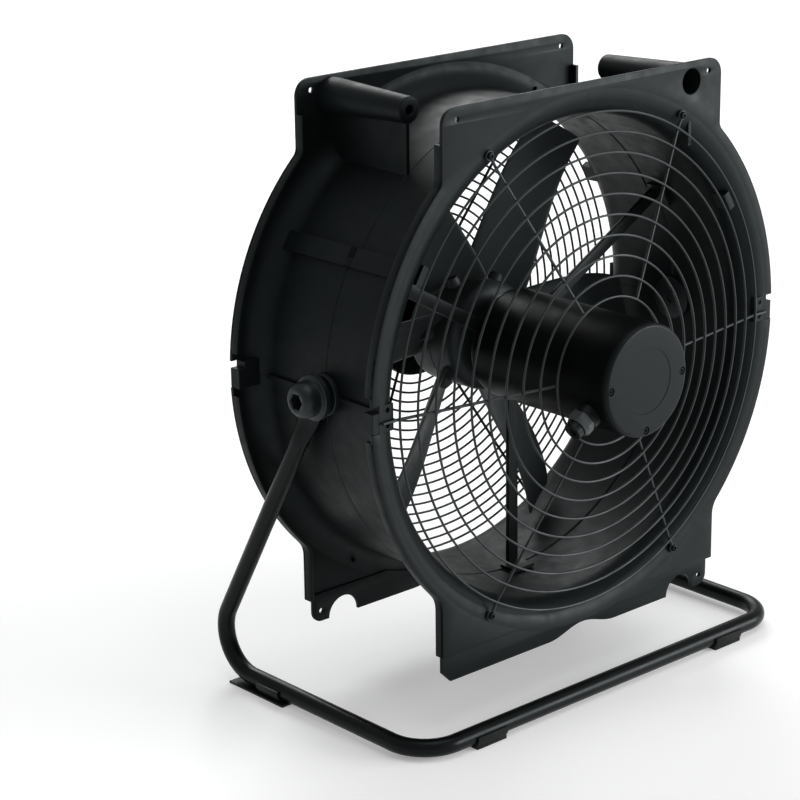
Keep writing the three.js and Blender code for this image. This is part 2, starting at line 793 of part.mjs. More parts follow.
/** Cable gland on the motor: the threaded body and its clamping nut. No cable is fitted. */
function addGland() {
  const aroundMotor = rod([0, MOTOR_FRONT, 0], [0, MOTOR_REAR, 0], MOTOR_R + GAP, MOTOR_STEPS);
  const bore = rod(...glandLine(0, GLAND_REACH + 5), GLAND_BORE_R, 12);
  const nutFrom = GLAND_REACH - GLAND_TIP - GLAND_NUT_T;
  const stem = rod(...glandLine(MOTOR_R - 8, GLAND_REACH), GLAND_R, 16);
  const base = rod(...glandLine(MOTOR_R - 8, nutFrom - GAP), GLAND_NUT_R, 16);
  const nut = rod(...glandLine(nutFrom, nutFrom + GLAND_NUT_T), GLAND_NUT_R + 1, 6);
  const stemRoom = rod(...glandLine(0, GLAND_REACH + 5), GLAND_R + GAP, 16);
  put("gland_body", cut(join([stem, base]), [aroundMotor, bore]), plastic);
  put("gland_nut", cut(nut, [stemRoom]), plastic);
}

/** Star of flat arms behind the motor, with a shoe against the drum wall on each arm. */
function addSupport() {
  const hub = turned(sleeve(SUPPORT_BORE, SUPPORT_PLATE_R, SUPPORT_FRONT, SUPPORT_BACK), MOTOR_STEPS);
  const reach = Math.sqrt((DRUM_FLAT - GAP) ** 2 - (SHOE_WIDTH / 2) ** 2);
  const arms = ARM_ANGLES.flatMap((angle) => {
    const arm = block(
      [SUPPORT_BORE + 8, SUPPORT_FRONT, -ARM_WIDTH / 2],
      [reach - 1, SUPPORT_BACK, ARM_WIDTH / 2],
    );
    const shoe = block(
      [reach - SHOE_T, SUPPORT_BACK - SHOE_LENGTH, -SHOE_WIDTH / 2],
      [reach, SUPPORT_BACK, SHOE_WIDTH / 2],
    );
    return [turnY(arm, -angle), turnY(shoe, -angle)];
  });
  put("motor_support", join([hub, ...arms]), paint);
}

// ---------------------------------------------------------------- impeller

function addShaft() {
  const from = STATOR_MIDDLE - STATOR_LENGTH / 2 + 2;
  const to = STATOR_MIDDLE + STATOR_LENGTH / 2 - 2;
  put("shaft", turned(sleeve(0, SHAFT_R, SHAFT_FRONT, SHAFT_BACK), 20), steel);
  put("rotor", turned(sleeve(SHAFT_R + GAP, STATOR_BORE - AIR_GAP, from, to), MOTOR_STEPS), steel);
}

/** Front half of the hub: a domed cup round the shaft, open at the split. */
function hubHalf() {
  const inner = HUB_R - HUB_WALL;
  const split = HUB_SPLIT - GAP / 2;
  const bore = SHAFT_R + GAP;
  const section = [
    [bore, HUB_FRONT],
    [HUB_R - 2 * HUB_DOME, HUB_FRONT],
    [HUB_R - 6, HUB_FRONT + 3],
    [HUB_R, HUB_FRONT + HUB_DOME + 2],
    [HUB_R, split],
    [inner, split],
    [inner, HUB_FRONT + HUB_DOME + HUB_WALL],
    [inner - HUB_DOME, HUB_FRONT + 2 + HUB_WALL],
    [BOSS_R, HUB_FRONT + 2 + HUB_WALL],
    [BOSS_R, split],
    [bore, split],
  ];
  return turned(section, HUB_STEPS);
}

function bladeAngles() {
  return Array.from({ length: BLADES }, (_, i) => BLADE_PHASE - (i * 360) / BLADES);
}

/** One cambered section of a blade at a radius, seen along the blade. */
function bladeRing(radius) {
  const share = (radius - HUB_R) / (BLADE_TIP - HUB_R);
  const mix = (root, tip) => root + (tip - root) * share;
  const chord = mix(BLADE_ROOT_CHORD, BLADE_TIP_CHORD);
  const pitch = mix(BLADE_ROOT_PITCH, BLADE_TIP_PITCH) * DEG;
  const thick = mix(BLADE_ROOT_T, BLADE_TIP_T) / 2;
  const turn = (BLADE_SWEEP + BLADE_BOW * (1 - share)) * share * DEG;
  const stations = [0, 0.1, 0.3, 0.5, 0.7, 0.9, 1];
  const edge = (u) => thick * Math.sqrt(Math.max(0, 4 * u * (1 - u)));
  const top = stations.map((u) => [u, edge(u)]);
  const under = stations.slice(1, -1).reverse().map((u) => [u, -edge(u)]);
  return [...top, ...under].map(([u, lift]) => {
    const along = (u - 0.5) * chord;
    const off = lift + chord * BLADE_CAMBER * 4 * u * (1 - u);
    const across = along * Math.cos(pitch) - off * Math.sin(pitch);
    const depth = along * Math.sin(pitch) + off * Math.cos(pitch);
    const angle = turn + across / radius;
    return new THREE.Vector3(radius * Math.cos(angle), HUB_SPLIT + depth, radius * Math.sin(angle));
  });
}

/** Blade along +X with the round root that the two hub halves clamp. */
function blade() {
  const stations = 6;
  const from = HUB_R + BLADE_CLEAR;
  const rings = Array.from({ length: stations }, (_, i) =>
    bladeRing(from + ((BLADE_TIP - from) * i) / (stations - 1)),
  );
  const head = HUB_R - HUB_WALL - GAP;
  const start = head - STUB_NECK;
  const stub = rod([start, HUB_SPLIT, 0], [from + STUB_REACH, HUB_SPLIT, 0], STUB_R, 12);
  const collar = rod([start, HUB_SPLIT, 0], [start + STUB_HEAD_T, HUB_SPLIT, 0], STUB_HEAD_R, 12);
  return join([loft(rings), stub, collar]);
}

function addImpeller() {
  const sockets = bladeAngles().map((angle) =>
    turnY(rod([BOSS_R + 8, HUB_SPLIT, 0], [HUB_R + 5, HUB_SPLIT, 0], STUB_R + GAP, 12), -angle),
  );
  const front = hubHalf();
  const back = front.mirror([0, 1, 0]).translate([0, 2 * HUB_SPLIT, 0]);
  put("hub_front", cut(front, sockets), plastic);
  put("hub_rear", cut(back, sockets), plastic);
  const one = blade();
  bladeAngles().forEach((angle, i) => put(`blade_${i + 1}`, turnY(one, -angle), plastic));
  const nut = turned(sleeve(0, NUT_R, HUB_BACK + GAP, HUB_BACK + NUT_T), 6);
  const bore = rod([0, HUB_BACK, 0], [0, SHAFT_BACK, 0], SHAFT_R + GAP, 20);
  put("hub_nut", cut(nut, [bore]), steel);
}

// ---------------------------------------------------------------- stand

/** Points along straight runs joined by round bends. */
function roundedPath(corners, radius, steps) {
  const points = [corners[0].clone()];
  for (let i = 1; i + 1 < corners.length; i += 1) {
    const into = corners[i].clone().sub(corners[i - 1]).normalize();
    const out = corners[i + 1].clone().sub(corners[i]).normalize();
    const turn = into.angleTo(out);
    const start = corners[i].clone().addScaledVector(into, -radius * Math.tan(turn / 2));
    const toMiddle = out.clone().sub(into).normalize();
    const middle = corners[i].clone().addScaledVector(toMiddle, radius / Math.cos(turn / 2));
    const axis = into.clone().cross(out).normalize();
    for (let s = 0; s <= steps; s += 1) {
      const spoke = start.clone().sub(middle).applyAxisAngle(axis, (turn * s) / steps);
      points.push(middle.clone().add(spoke));
    }
  }
  points.push(corners[corners.length - 1].clone());
  return points;
}

/** Half thickness and half width of the tube at a distance from its pivot. */
function tubeSize(distance) {
  const past = Math.min(0, distance) / FLAT_HALF;
  const blend = THREE.MathUtils.smoothstep(distance, FLAT_LENGTH, FLAT_LENGTH + FLARE_LENGTH);
  const half = THREE.MathUtils.lerp(FLAT_T / 2, TUBE_R, blend);
  const wide = THREE.MathUtils.lerp(FLAT_HALF, TUBE_R, blend);
  return [half, wide * Math.sqrt(Math.max(0.02, 1 - past * past))];
}

/** One bent tube from pivot to pivot: arms, floor runners and crossbar. */
function standTube() {
  const corner = (side, y, z) => new THREE.Vector3(side * STAND_HALF, y, z);
  const half = (side) => [
    corner(side, 0, 0),
    corner(side, HEEL_CORNER, RUNNER_Z),
    corner(side, STAND_FRONT, RUNNER_Z),
  ];
  const route = roundedPath([...half(-1), ...half(1).reverse()], BEND_R, 5);
  const down = route[1].clone().sub(route[0]).normalize();
  const up = new THREE.Vector3(-down.x, down.y, down.z);
  const flare = [0, 0.3, 0.6, 1].map((share) => FLAT_LENGTH + share * FLARE_LENGTH);
  const marks = [-FLAT_HALF, -0.8 * FLAT_HALF, -0.4 * FLAT_HALF, ...flare];
  const first = marks.map((s) => route[0].clone().addScaledVector(down, s));
  const end = route[route.length - 1];
  const last = marks.map((s) => end.clone().addScaledVector(up, s)).reverse();
  const points = [...first, ...route.slice(1, -1), ...last];
  const span = points.length - 1;
  const tangents = points.map((p, i) =>
    points[Math.min(i + 1, span)].clone().sub(points[Math.max(i - 1, 0)]).normalize(),
  );
  const thin = new THREE.Vector3(1, 0, 0);
  const sides = 10;
  const rings = points.map((p, i) => {
    if (i > 0) {
      const turn = new THREE.Quaternion().setFromUnitVectors(tangents[i - 1], tangents[i]);
      thin.applyQuaternion(turn);
    }
    const wide = tangents[i].clone().cross(thin);
    const fromPivot = marks[i] ?? marks[span - i] ?? FLAT_LENGTH + FLARE_LENGTH;
    const [a, b] = tubeSize(fromPivot);
    return Array.from({ length: sides }, (_, j) => {
      const t = (2 * Math.PI * j) / sides;
      const out = thin.clone().multiplyScalar(a * Math.cos(t));
      return p.clone().add(out).addScaledVector(wide, b * Math.sin(t));
    });
  });
  const reach = STAND_HALF + TUBE_R;
  const bore = rod([-reach, 0, 0], [reach, 0, 0], STUD_R + 2 * GAP, 12);
  return cut(loft(rings), [bore]);
}

/** Clip hugging the floor tube from below, flat underneath; along Y at x = 0. */
function tubeClip(length, width) {
  const outer = TUBE_R + FOOT_T;
  const saddle = rod([0, -length / 2, RUNNER_Z], [0, length / 2, RUNNER_Z], outer, 16);
  const sole = block([-width / 2, -length / 2, FLOOR_Z], [width / 2, length / 2, RUNNER_Z - 4]);
  const room = rod([0, -length, RUNNER_Z], [0, length, RUNNER_Z], TUBE_R + GAP, 16);
  const open = block([-outer - 1, -length, RUNNER_Z + 2], [outer + 1, length, RUNNER_Z + 2 * outer]);
  return cut(saddle.add(sole), [room, open]);
}

/** Flat plate under the heel of the stand, clipped to the runner at its front end. */
function heelPlate() {
  const clip = tubeClip(HEEL_LENGTH * 0.4, 2 * TUBE_R).translate([0, HEEL_PLACE - HEEL_LENGTH * 0.2, 0]);
  const half = HEEL_LENGTH / 2;
  const top = FLOOR_Z + FOOT_T - GAP;
  const sole = block(
    [-HEEL_WIDTH / 2, HEEL_PLACE - half, FLOOR_Z],
    [HEEL_WIDTH / 2, HEEL_PLACE + half, top],
  );
  return join([clip, sole]);
}

function addStand() {
  put("stand_tube", standTube(), paint);
  const clip = tubeClip(CLIP_LENGTH, 2 * TUBE_R).rotate([0, 0, 90]);
  put("foot_clip_left", clip.translate([-CLIP_PLACE, STAND_FRONT, 0]), rubber);
  put("foot_clip_right", clip.translate([CLIP_PLACE, STAND_FRONT, 0]), rubber);
  put("heel_plate_left", heelPlate().translate([-STAND_HALF, 0, 0]), paint);
  put("heel_plate_right", heelPlate().translate([STAND_HALF, 0, 0]), paint);
}

// ---------------------------------------------------------------- pivots and knobs

/** Turned piece whose section runs outward along +X from x = 0. */
const turnedOut = (section, steps) => turned(section, steps).rotate([0, 0, -90]);

/** Spool that the four mouldings trap: the stand's squashed end bears on its collar. */
function pivotSpool() {
  const neck = SPOOL_NECK_R;
  const inner = Math.sqrt(DRUM_FLAT ** 2 - SPOOL_INNER_R ** 2) - GAP;
  const collar = DRUM_OUT + GAP;
  return turnedOut(
    [
      [PIVOT_BORE, inner - SPOOL_INNER_T],
      [SPOOL_INNER_R, inner - SPOOL_INNER_T],
      [SPOOL_INNER_R, inner],
      [neck, inner],
      [neck, collar],
      [SPOOL_COLLAR_R, collar],
      [SPOOL_COLLAR_R, COLLAR_X],
      [PIVOT_BORE, COLLAR_X],
    ],
    20,
  );
}

/** Clamp knob with a domed face, a hexagon socket and its threaded stud. */
function knob() {
  const top = SEAT_X + KNOB_HEIGHT;
  const disc = SEAT_X + KNOB_DISC;
  const stud = DRUM_BORE - 4;
  const solid = turnedOut(
    [
      [0, stud],
      [STUD_R, stud],
      [STUD_R, SEAT_X],
      [KNOB_R - 2, SEAT_X],
      [KNOB_R, SEAT_X + 2],
      [KNOB_R, disc - 1],
      [KNOB_DOME_R + 1, disc + 1],
      [KNOB_DOME_R, disc + 5],
      [KNOB_DOME_R - 2, disc + 11],
      [KNOB_DOME_R - 8, top],
      [0, top],
    ],
    20,
  );
  const socket = rod([top - SOCKET_DEPTH, 0, 0], [top + 1, 0, 0], SOCKET_R, 6);
  return cut(solid, [socket]);
}

function addPivots() {
  const spool = pivotSpool();
  const hand = knob();
  put("pivot_spool_right", spool, plastic);
  put("pivot_spool_left", halfTurn(spool), plastic);
  put("knob_right", hand, plastic);
  put("knob_left", halfTurn(hand), plastic);
}

addHousing();
addSideJoints();
addGrilles();
addGrilleScrews();
addMotor();
addGland();
addSupport();
addShaft();
addImpeller();
addStand();
addPivots();

export default fan;
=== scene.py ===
from math import acos, asin, atan2, ceil, copysign, cos, degrees, dist, pi, radians, sin, sqrt, tan

import bmesh
import bpy
from mathutils import Matrix, Vector

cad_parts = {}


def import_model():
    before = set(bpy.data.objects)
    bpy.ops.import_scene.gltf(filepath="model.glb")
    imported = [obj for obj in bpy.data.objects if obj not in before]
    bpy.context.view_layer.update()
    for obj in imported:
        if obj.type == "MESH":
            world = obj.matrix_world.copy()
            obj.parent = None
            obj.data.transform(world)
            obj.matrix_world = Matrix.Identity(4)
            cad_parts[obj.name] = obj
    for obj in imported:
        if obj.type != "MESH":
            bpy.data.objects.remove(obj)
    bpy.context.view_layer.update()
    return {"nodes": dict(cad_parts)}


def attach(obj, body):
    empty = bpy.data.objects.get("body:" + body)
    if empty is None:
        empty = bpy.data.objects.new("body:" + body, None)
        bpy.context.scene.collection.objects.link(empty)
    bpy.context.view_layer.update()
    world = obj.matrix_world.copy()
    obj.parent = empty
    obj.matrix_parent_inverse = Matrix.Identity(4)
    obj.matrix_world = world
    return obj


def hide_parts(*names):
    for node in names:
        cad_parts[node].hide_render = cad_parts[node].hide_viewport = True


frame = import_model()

# Sizes are in millimetres and angles in degrees, about the drum's axis. Where the CAD model has a size of the
# same name, it has the same value, apart from REAR_WIRE_R.
MM = 0.001
GAP = 0.3  # between pieces that touch
HALF_GAP = GAP / 2
SINK = 1  # how far a part of a moulding reaches into the part it stands on

# drum
DRUM_BORE = 258
DRUM_WALL = 4
DRUM_OUT = DRUM_BORE + DRUM_WALL
BORE_FLAT = 257.28  # the CAD bore's radius in the middle of a facet
HALF_DEPTH = 111
BELL_R = 30
BELL_OUT = DRUM_BORE + BELL_R
WALL_FACETS = 240  # round the whole drum
SEAM_STEP = 10  # the seam between front and rear steps by this near the top
SEAM_CHAMFER = 1.6
SLIT = 0.05  # degrees left free where walls meet, at the sides and the top
LEDGE_ANGLE = 149
LEDGE_WIDTH = 21
LEDGE_RISE = 5

# flange outline
FLANGE_T = 4
RIM_R = BELL_OUT + 9
RIM_RISE = 4  # the outline's round sides sit this much above the axis
TAB_HALF = RIM_R - 95
TAB_TOP = RIM_R
TAB_CORNER = 18
TAB_FILLET = 12
FOOT_HALF = TAB_HALF + 4
FOOT_FILLET = 25
FOOT_BOTTOM = RIM_R + 4
FOOT_CHAMFER = 12
STRIP_HEIGHT = 29  # stepped-back strip along the bottom edge
STRIP_TOP = FOOT_BOTTOM - STRIP_HEIGHT
STRIP_STEP = 2
STRIP_INSET = 7
STRIP_MOUTH_R = BELL_OUT - 5
RELIEF_HALF = 50
RELIEF_HEIGHT = 10
LIP_T = 4
LIP_DEPTH = 12
LIP_START = 36  # below the top edge
LIP_SINK = 0.5
FIXING_HOLE_R = 3
FIXING_INSET = (20, 13)  # corner holes from the tab's side and top

# handles
HANDLE_X = TAB_HALF - 47
HANDLE_Z = TAB_TOP - 21
HANDLE_ROOT_R = 19
HANDLE_TIP_R = 12.5
HANDLE_BORE_R = 14
HANDLE_TIP_BORE_R = 5
HANDLE_TIP_WALL = 14
HANDLE_REACH = 124
WEB_T = 4
NOTCH_R = HANDLE_ROOT_R + 2  # room in the strip for the other flange's handle

# side joints and the ribs along them
JOINT_HEIGHT = 28
JOINT_REACH = 28
JOINT_DEPTH = 14
JOINT_NOTCH = JOINT_HEIGHT / 2 + GAP
JOINT_CORNER = (9, 7)  # cut off the block's outer upper corner
EYE_PLACE = 8
EYE_R = 2.5
EYE_DEPTH = 5
RIB_T = 4
RIB_RISE = 4
RIB_FRONT = BELL_R - HALF_DEPTH - 8
RIB_BACK = -26

# grilles
WIRE_R = 1.6
RING_WIRE_R = 1.3
REAR_WIRE_R = 1.25
GRILLE_FOOT_R = DRUM_BORE + 7
GRILLE_SLOPE = 0.168
FRONT_INNER_R = 78.4
FRONT_RINGS = 10
REAR_INNER_R = 67
REAR_RINGS = 20
REAR_DISC_T = 3.2
SPOKES = 6
SPOKE_BACK = -HALF_DEPTH - GAP
JOINT_SPOKE_END = RIM_R - 12
EYELET_R = 5.5
EYELET_BORE_R = 2.4
EYELET_T = 1.8
EYELET_PLACE = BELL_OUT - 8
SCREW_R = 2.1
SCREW_HEAD_R = 4
SCREW_HEAD_T = 2.6
SCREW_LENGTH = 12
SCREW_ANGLES = (60, 120, 240, 300)

# motor, cable gland and support arms
MOTOR_R = 60
MOTOR_FRONT = -190
MOTOR_REAR = -3
MOTOR_WALL = 4
MOTOR_REAR_BORE_R = 9
CAP_T = 7
CAP_FACE = MOTOR_FRONT - GAP - CAP_T
CAP_STEP_R = 35
CAP_STEP = 0.5
CAP_ROUND = 4
CAP_SCREW_PLACE = 53
CAP_SCREW_ANGLES = (-180, -90, 0)
CAP_SCREW_R = 4
CAP_SCREW_HEAD_T = 3
CAP_SCREW_LENGTH = 20
CAP_POCKET = 4
GLAND_Y = -166
GLAND_ANGLE = -150
GLAND_R = 10
GLAND_LENGTH = 29  # from the motor's surface
GLAND_SINK = 8
GLAND_TIP = 8
GLAND_NUT_R = 14
GLAND_NUT_T = 12
GLAND_BORE_R = 5
GLAND_NUT_END = GLAND_LENGTH - GLAND_TIP
GLAND_NUT_START = GLAND_NUT_END - GLAND_NUT_T
ARM_ANGLES = (-90, 30, 150)
ARM_WIDTH = 14
SUPPORT_T = 5
SUPPORT_BORE = 24
SUPPORT_PLATE_R = 58
SUPPORT_FRONT = MOTOR_REAR + GAP
SUPPORT_BACK = SUPPORT_FRONT + SUPPORT_T
SHOE_LENGTH = 22
SHOE_WIDTH = 30
SHOE_T = 3.5
SHOE_OUT = DRUM_BORE - 1.4

# impeller
SHAFT_R = 7
SHAFT_SINK = 5
HUB_R = 60
HUB_SPLIT = 66
HUB_HALF = 40
HUB_BACK = HUB_SPLIT + HUB_HALF
HUB_WALL = 5
HUB_ROUND = (20, 12)  # rounded edge of a cup, across and along the axis
HUB_FLOOR = 7
BOSS_R = 20
BLADES = 6
BLADE_TIP = DRUM_BORE - 9
BLADE_CLEAR = 1.5
BLADE_PHASE = 52  # root of the first blade, from +X
BLADE_SWEEP = 4  # of a tip, round from its root
BLADE_BOW = 18  # extra sweep between root and tip
BLADE_ROOT_CHORD = 77
BLADE_TIP_CHORD = 62
BLADE_ROOT_PITCH = 39
BLADE_TIP_PITCH = 20
BLADE_ROOT_T = 8
BLADE_TIP_T = 3
BLADE_CAMBER = 0.06
BLADE_TAPER = 0.12  # of the chord, over the outermost share of a blade
TAPER_START = 0.93
STUB_R = 8
STUB_HEAD_R = 11.5
STUB_HEAD_T = 4
STUB_NECK = 6
NUT_R = 12
NUT_T = 9

# stand
TUBE_R = 9.5
STAND_HALF = DRUM_OUT + 9
AXIS_DROP = FOOT_BOTTOM + 45
RUNNER_Z = -AXIS_DROP
ARM_RAKE = 30
STAND_FRONT = -149
BEND_R = 45
FLAT_T = 6
FLAT_HALF = 14
FLAT_LENGTH = 26
FLARE_LENGTH = 44
FOOT_T = 3
CLIP_PLACE = STAND_HALF - 88
CLIP_LENGTH = 42
CLIP_RISE = 2
HEEL_PLACE = 103
HEEL_WIDTH = 26
HEEL_LENGTH = 90
HEEL_CLIP_LENGTH = 36
HEEL_CORNER = AXIS_DROP * tan(radians(ARM_RAKE))
HEEL_BACK = HEEL_CORNER - BEND_R * tan(radians((90 + ARM_RAKE) / 2)) + BEND_R + TUBE_R

# pivots and knobs
PIVOT_BORE = 5.3
STUD_R = 5
SPOOL_NECK_R = 12
SPOOL_COLLAR_R = 22
SPOOL_INNER_R = 24
SPOOL_INNER_T = 3
COLLAR_X = STAND_HALF - FLAT_T / 2 - GAP
SEAT_X = STAND_HALF + FLAT_T / 2 + GAP
KNOB_R = 24
KNOB_DISC = 8
KNOB_DOME_R = 19
KNOB_HEIGHT = 27
SOCKET_R = 9
SOCKET_DEPTH = 12

# The drum's axis in the shared frame, whose middle is halfway between the motor's cap and the heels.
AXIS_Y = -(CAP_FACE + HEEL_BACK) / 2
AXIS_Z = AXIS_DROP + TUBE_R + FOOT_T


# ------------------------------------------------------------------ mesh helpers

def world(p):
    """A point in millimetres about the drum's axis, in the shared frame in metres."""
    return Vector((p[0] * MM, (p[1] + AXIS_Y) * MM, (p[2] + AXIS_Z) * MM))


class Shape:
    """Vertices and faces in millimetres about the drum's axis."""

    def __init__(self):
        self.verts = []
        self.faces = []

    def add(self, verts, faces, turn=None):
        base = len(self.verts)
        for v in verts:
            v = Vector(v)
            self.verts.append(turn @ v if turn else v)
        self.faces += [[base + i for i in f] for f in faces]
        return self

    def merge(self, other, turn=None):
        return self.add(other.verts, other.faces, turn)

    def turned(self, turn):
        return Shape().merge(self, turn)


HALF_TURN = Matrix.Rotation(pi, 4, "Z")
QUARTER_TURN = Matrix.Rotation(pi / 2, 4, "Z")
Y_TO_X = Matrix.Rotation(-pi / 2, 4, "Z")
MIRROR_X = Matrix.Scale(-1, 4, (1, 0, 0))


def moved(x, y, z):
    return Matrix.Translation((x, y, z))


def about_axis(angle):
    """Turns +X to that angle round the drum's axis."""
    return Matrix.Rotation(-radians(angle), 4, "Y")


def lathe(section, steps, start=0.0, sweep=360.0):
    """Section of (radius, y) pairs, or a function that gives one for an angle, round Y from +X to +Z."""
    shape = Shape()
    section_at = section if callable(section) else lambda t: section
    full = sweep == 360
    count = max(3, round(steps * sweep / 360))
    columns = count if full else count + 1
    n = len(section_at(0))
    for i in range(columns):
        t = radians(start + sweep * i / count)
        shape.verts += [Vector((r * cos(t), y, r * sin(t))) for r, y in section_at(t)]
    for i in range(count):
        a, b = i * n, ((i + 1) % columns) * n
        shape.faces += [[a + j, a + (j + 1) % n, b + (j + 1) % n, b + j] for j in range(n)]
    if not full:
        shape.faces.append(list(range(n))[::-1])
        shape.faces.append([count * n + j for j in range(n)])
    return shape


def hexagon(corner, t):
    """Radius of a hexagon at angle t, from the radius of its corners."""
    return corner * cos(pi / 6) / cos(t % (pi / 3) - pi / 6)


def box(low, high):
    (x0, y0, z0), (x1, y1, z1) = low, high
    verts = [(x, y, z) for x in (x0, x1) for y in (y0, y1) for z in (z0, z1)]
    faces = [[0, 1, 3, 2], [4, 6, 7, 5], [0, 4, 5, 1], [2, 3, 7, 6], [0, 2, 6, 4], [1, 5, 7, 3]]
    return Shape().add(verts, faces)


def rod(a, b, radius, sides):
    a, b = Vector(a), Vector(b)
    side = (b - a).orthogonal().normalized()
    up = (b - a).normalized().cross(side)
    turns = [2 * pi * i / sides for i in range(sides)]
    return loft([[p + side * (radius * cos(t)) + up * (radius * sin(t)) for t in turns] for p in (a, b)])


def loft(rings, capped=True):
    """Skin over rings with equal numbers of points."""
    shape = Shape()
    n = len(rings[0])
    for points in rings:
        shape.verts += [Vector(p) for p in points]
    for i in range(len(rings) - 1):
        a, b = i * n, (i + 1) * n
        shape.faces += [[a + j, a + (j + 1) % n, b + (j + 1) % n, b + j] for j in range(n)]
    if capped:
        shape.faces.append(list(range(n))[::-1])
        shape.faces.append([(len(rings) - 1) * n + j for j in range(n)])
    return shape


def wire_ring(radius, y, wire, steps):
    """Round wire bent into a circle round the drum's axis."""
    sides = 8
    turns = [2 * pi * i / sides for i in range(sides)]
    return lathe([(radius + wire * cos(t), y + wire * sin(t)) for t in turns], steps)


def arc(x, z, radius, start, end, sag=0.06):
    """Points along an arc, with facets that leave it by at most sag."""
    facet = 2 * acos(1 - sag / radius)
    steps = max(3, ceil(abs(end - start) / facet))
    turns = [start + (end - start) * i / steps for i in range(steps + 1)]
    return [(x + radius * cos(t), z + radius * sin(t)) for t in turns]


def circle(x, z, radius, steps=32):
    turns = [2 * pi * i / steps for i in range(steps)]
    return [(x + radius * cos(t), z + radius * sin(t)) for t in turns]


def plate(outline, holes, y, thickness, soft=0.5):
    """Flat plate in X and Z with holes and softened edges, from y to y + thickness."""
    nearest = 0.02
    curve = bpy.data.curves.new("plate", "CURVE")
    curve.dimensions = "2D"
    curve.fill_mode = "BOTH"
    curve.extrude = (thickness / 2 - soft) * MM
    curve.bevel_depth = soft * MM
    curve.bevel_resolution = 1
    curve.offset = -soft * MM
    for points in [outline, *holes]:
        kept = [p for i, p in enumerate(points) if dist(p, points[i - 1]) > nearest]
        spline = curve.splines.new("POLY")
        spline.points.add(len(kept) - 1)
        for point, (x, z) in zip(spline.points, kept):
            point.co = (x * MM, z * MM, 0, 1)
        spline.use_cyclic_u = True
    holder = bpy.data.objects.new("plate", curve)
    bpy.context.scene.collection.objects.link(holder)
    bpy.context.view_layer.update()
    mesh = bpy.data.meshes.new_from_object(holder)
    shape = Shape()
    for v in mesh.vertices:
        shape.verts.append(Vector((v.co.x / MM, y + thickness / 2 - v.co.z / MM, v.co.y / MM)))
    shape.faces = [list(p.vertices) for p in mesh.polygons]
    bpy.data.objects.remove(holder)
    bpy.data.curves.remove(curve)
    bpy.data.meshes.remove(mesh)
    return shape


def closed_mesh(name, shape):
    mesh = bpy.data.meshes.new(name)
    mesh.from_pydata([world(v) for v in shape.verts], [], shape.faces)
    bm = bmesh.new()
    bm.from_mesh(mesh)
    bmesh.ops.remove_doubles(bm, verts=bm.verts, dist=1e-6)
    bmesh.ops.recalc_face_normals(bm, faces=bm.faces)
    bm.to_mesh(mesh)
    bm.free()
    return mesh


def carved(shape, *tools):
    """The shape with the tools' volumes taken away."""
    holders = []
    for each in (shape, *tools):
        holder = bpy.data.objects.new("blank", closed_mesh("blank", each))
        bpy.context.scene.collection.objects.link(holder)
        holders.append(holder)
    for tool in holders[1:]:
        cut = holders[0].modifiers.new("cut", "BOOLEAN")
        cut.operation = "DIFFERENCE"
        cut.solver = "EXACT"
        cut.object = tool
    bpy.context.view_layer.update()
    evaluated = holders[0].evaluated_get(bpy.context.evaluated_depsgraph_get())
    mesh = bpy.data.meshes.new_from_object(evaluated)
    result = Shape()
    result.verts = [Vector((v.co.x / MM, v.co.y / MM - AXIS_Y, v.co.z / MM - AXIS_Z)) for v in mesh.vertices]
    result.faces = [list(p.vertices) for p in mesh.polygons]
    bpy.data.meshes.remove(mesh)
    for holder in holders:
        blank = holder.data
        bpy.data.objects.remove(holder)
        bpy.data.meshes.remove(blank)
    return result


def smooth(mesh, crease):
    """Smooth shading, broken where faces meet at more than the crease."""
    mesh.polygons.foreach_set("use_smooth", [True] * len(mesh.polygons))
    mesh.set_sharp_from_angle(angle=radians(crease))


def piece(name, shape, material, body, node, edge=0.0, crease=40):
    """Makes one piece of the visual model, on its CAD body, in place of a CAD node."""
    mesh = closed_mesh(name, shape)
    mesh.materials.append(material)
    obj = bpy.data.objects.new(name, mesh)
    bpy.context.scene.collection.objects.link(obj)
    if edge:
        bevel = obj.modifiers.new("edges", "BEVEL")
        bevel.width = edge * MM
        bevel.segments = 2
        bevel.limit_method = "ANGLE"
        bevel.angle_limit = radians(crease)
    smooth(mesh, crease)
    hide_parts(node)
    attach(obj, body)


# ------------------------------------------------------------------ materials

def shader(name, color, roughness, specular, metallic=0.0):
    """Starts a node material. Returns it with its nodes, links and main shader."""
    material = bpy.data.materials.new(name)
    material.use_nodes = True
    nodes, links = material.node_tree.nodes, material.node_tree.links
    main = nodes["Principled BSDF"]
    main.inputs["Base Color"].default_value = (*color, 1)
    main.inputs["Roughness"].default_value = roughness
    main.inputs["Metallic"].default_value = metallic
    main.inputs["Specular IOR Level"].default_value = specular
    main.inputs["Specular Tint"].default_value = (0.84, 0.97, 1.0, 1)
    return material, nodes, links, main


def noise(nodes, links, scale, detail, stretch=(1, 1, 1)):
    """Noise in object space, in features per metre."""
    where = nodes.new("ShaderNodeTexCoord")
    mapping = nodes.new("ShaderNodeMapping")
    mapping.inputs["Scale"].default_value = stretch
    texture = nodes.new("ShaderNodeTexNoise")
    texture.inputs["Scale"].default_value = scale
    texture.inputs["Detail"].default_value = detail
    links.new(where.outputs["Object"], mapping.inputs["Vector"])
    links.new(mapping.outputs["Vector"], texture.inputs["Vector"])
    return texture.outputs["Fac"]


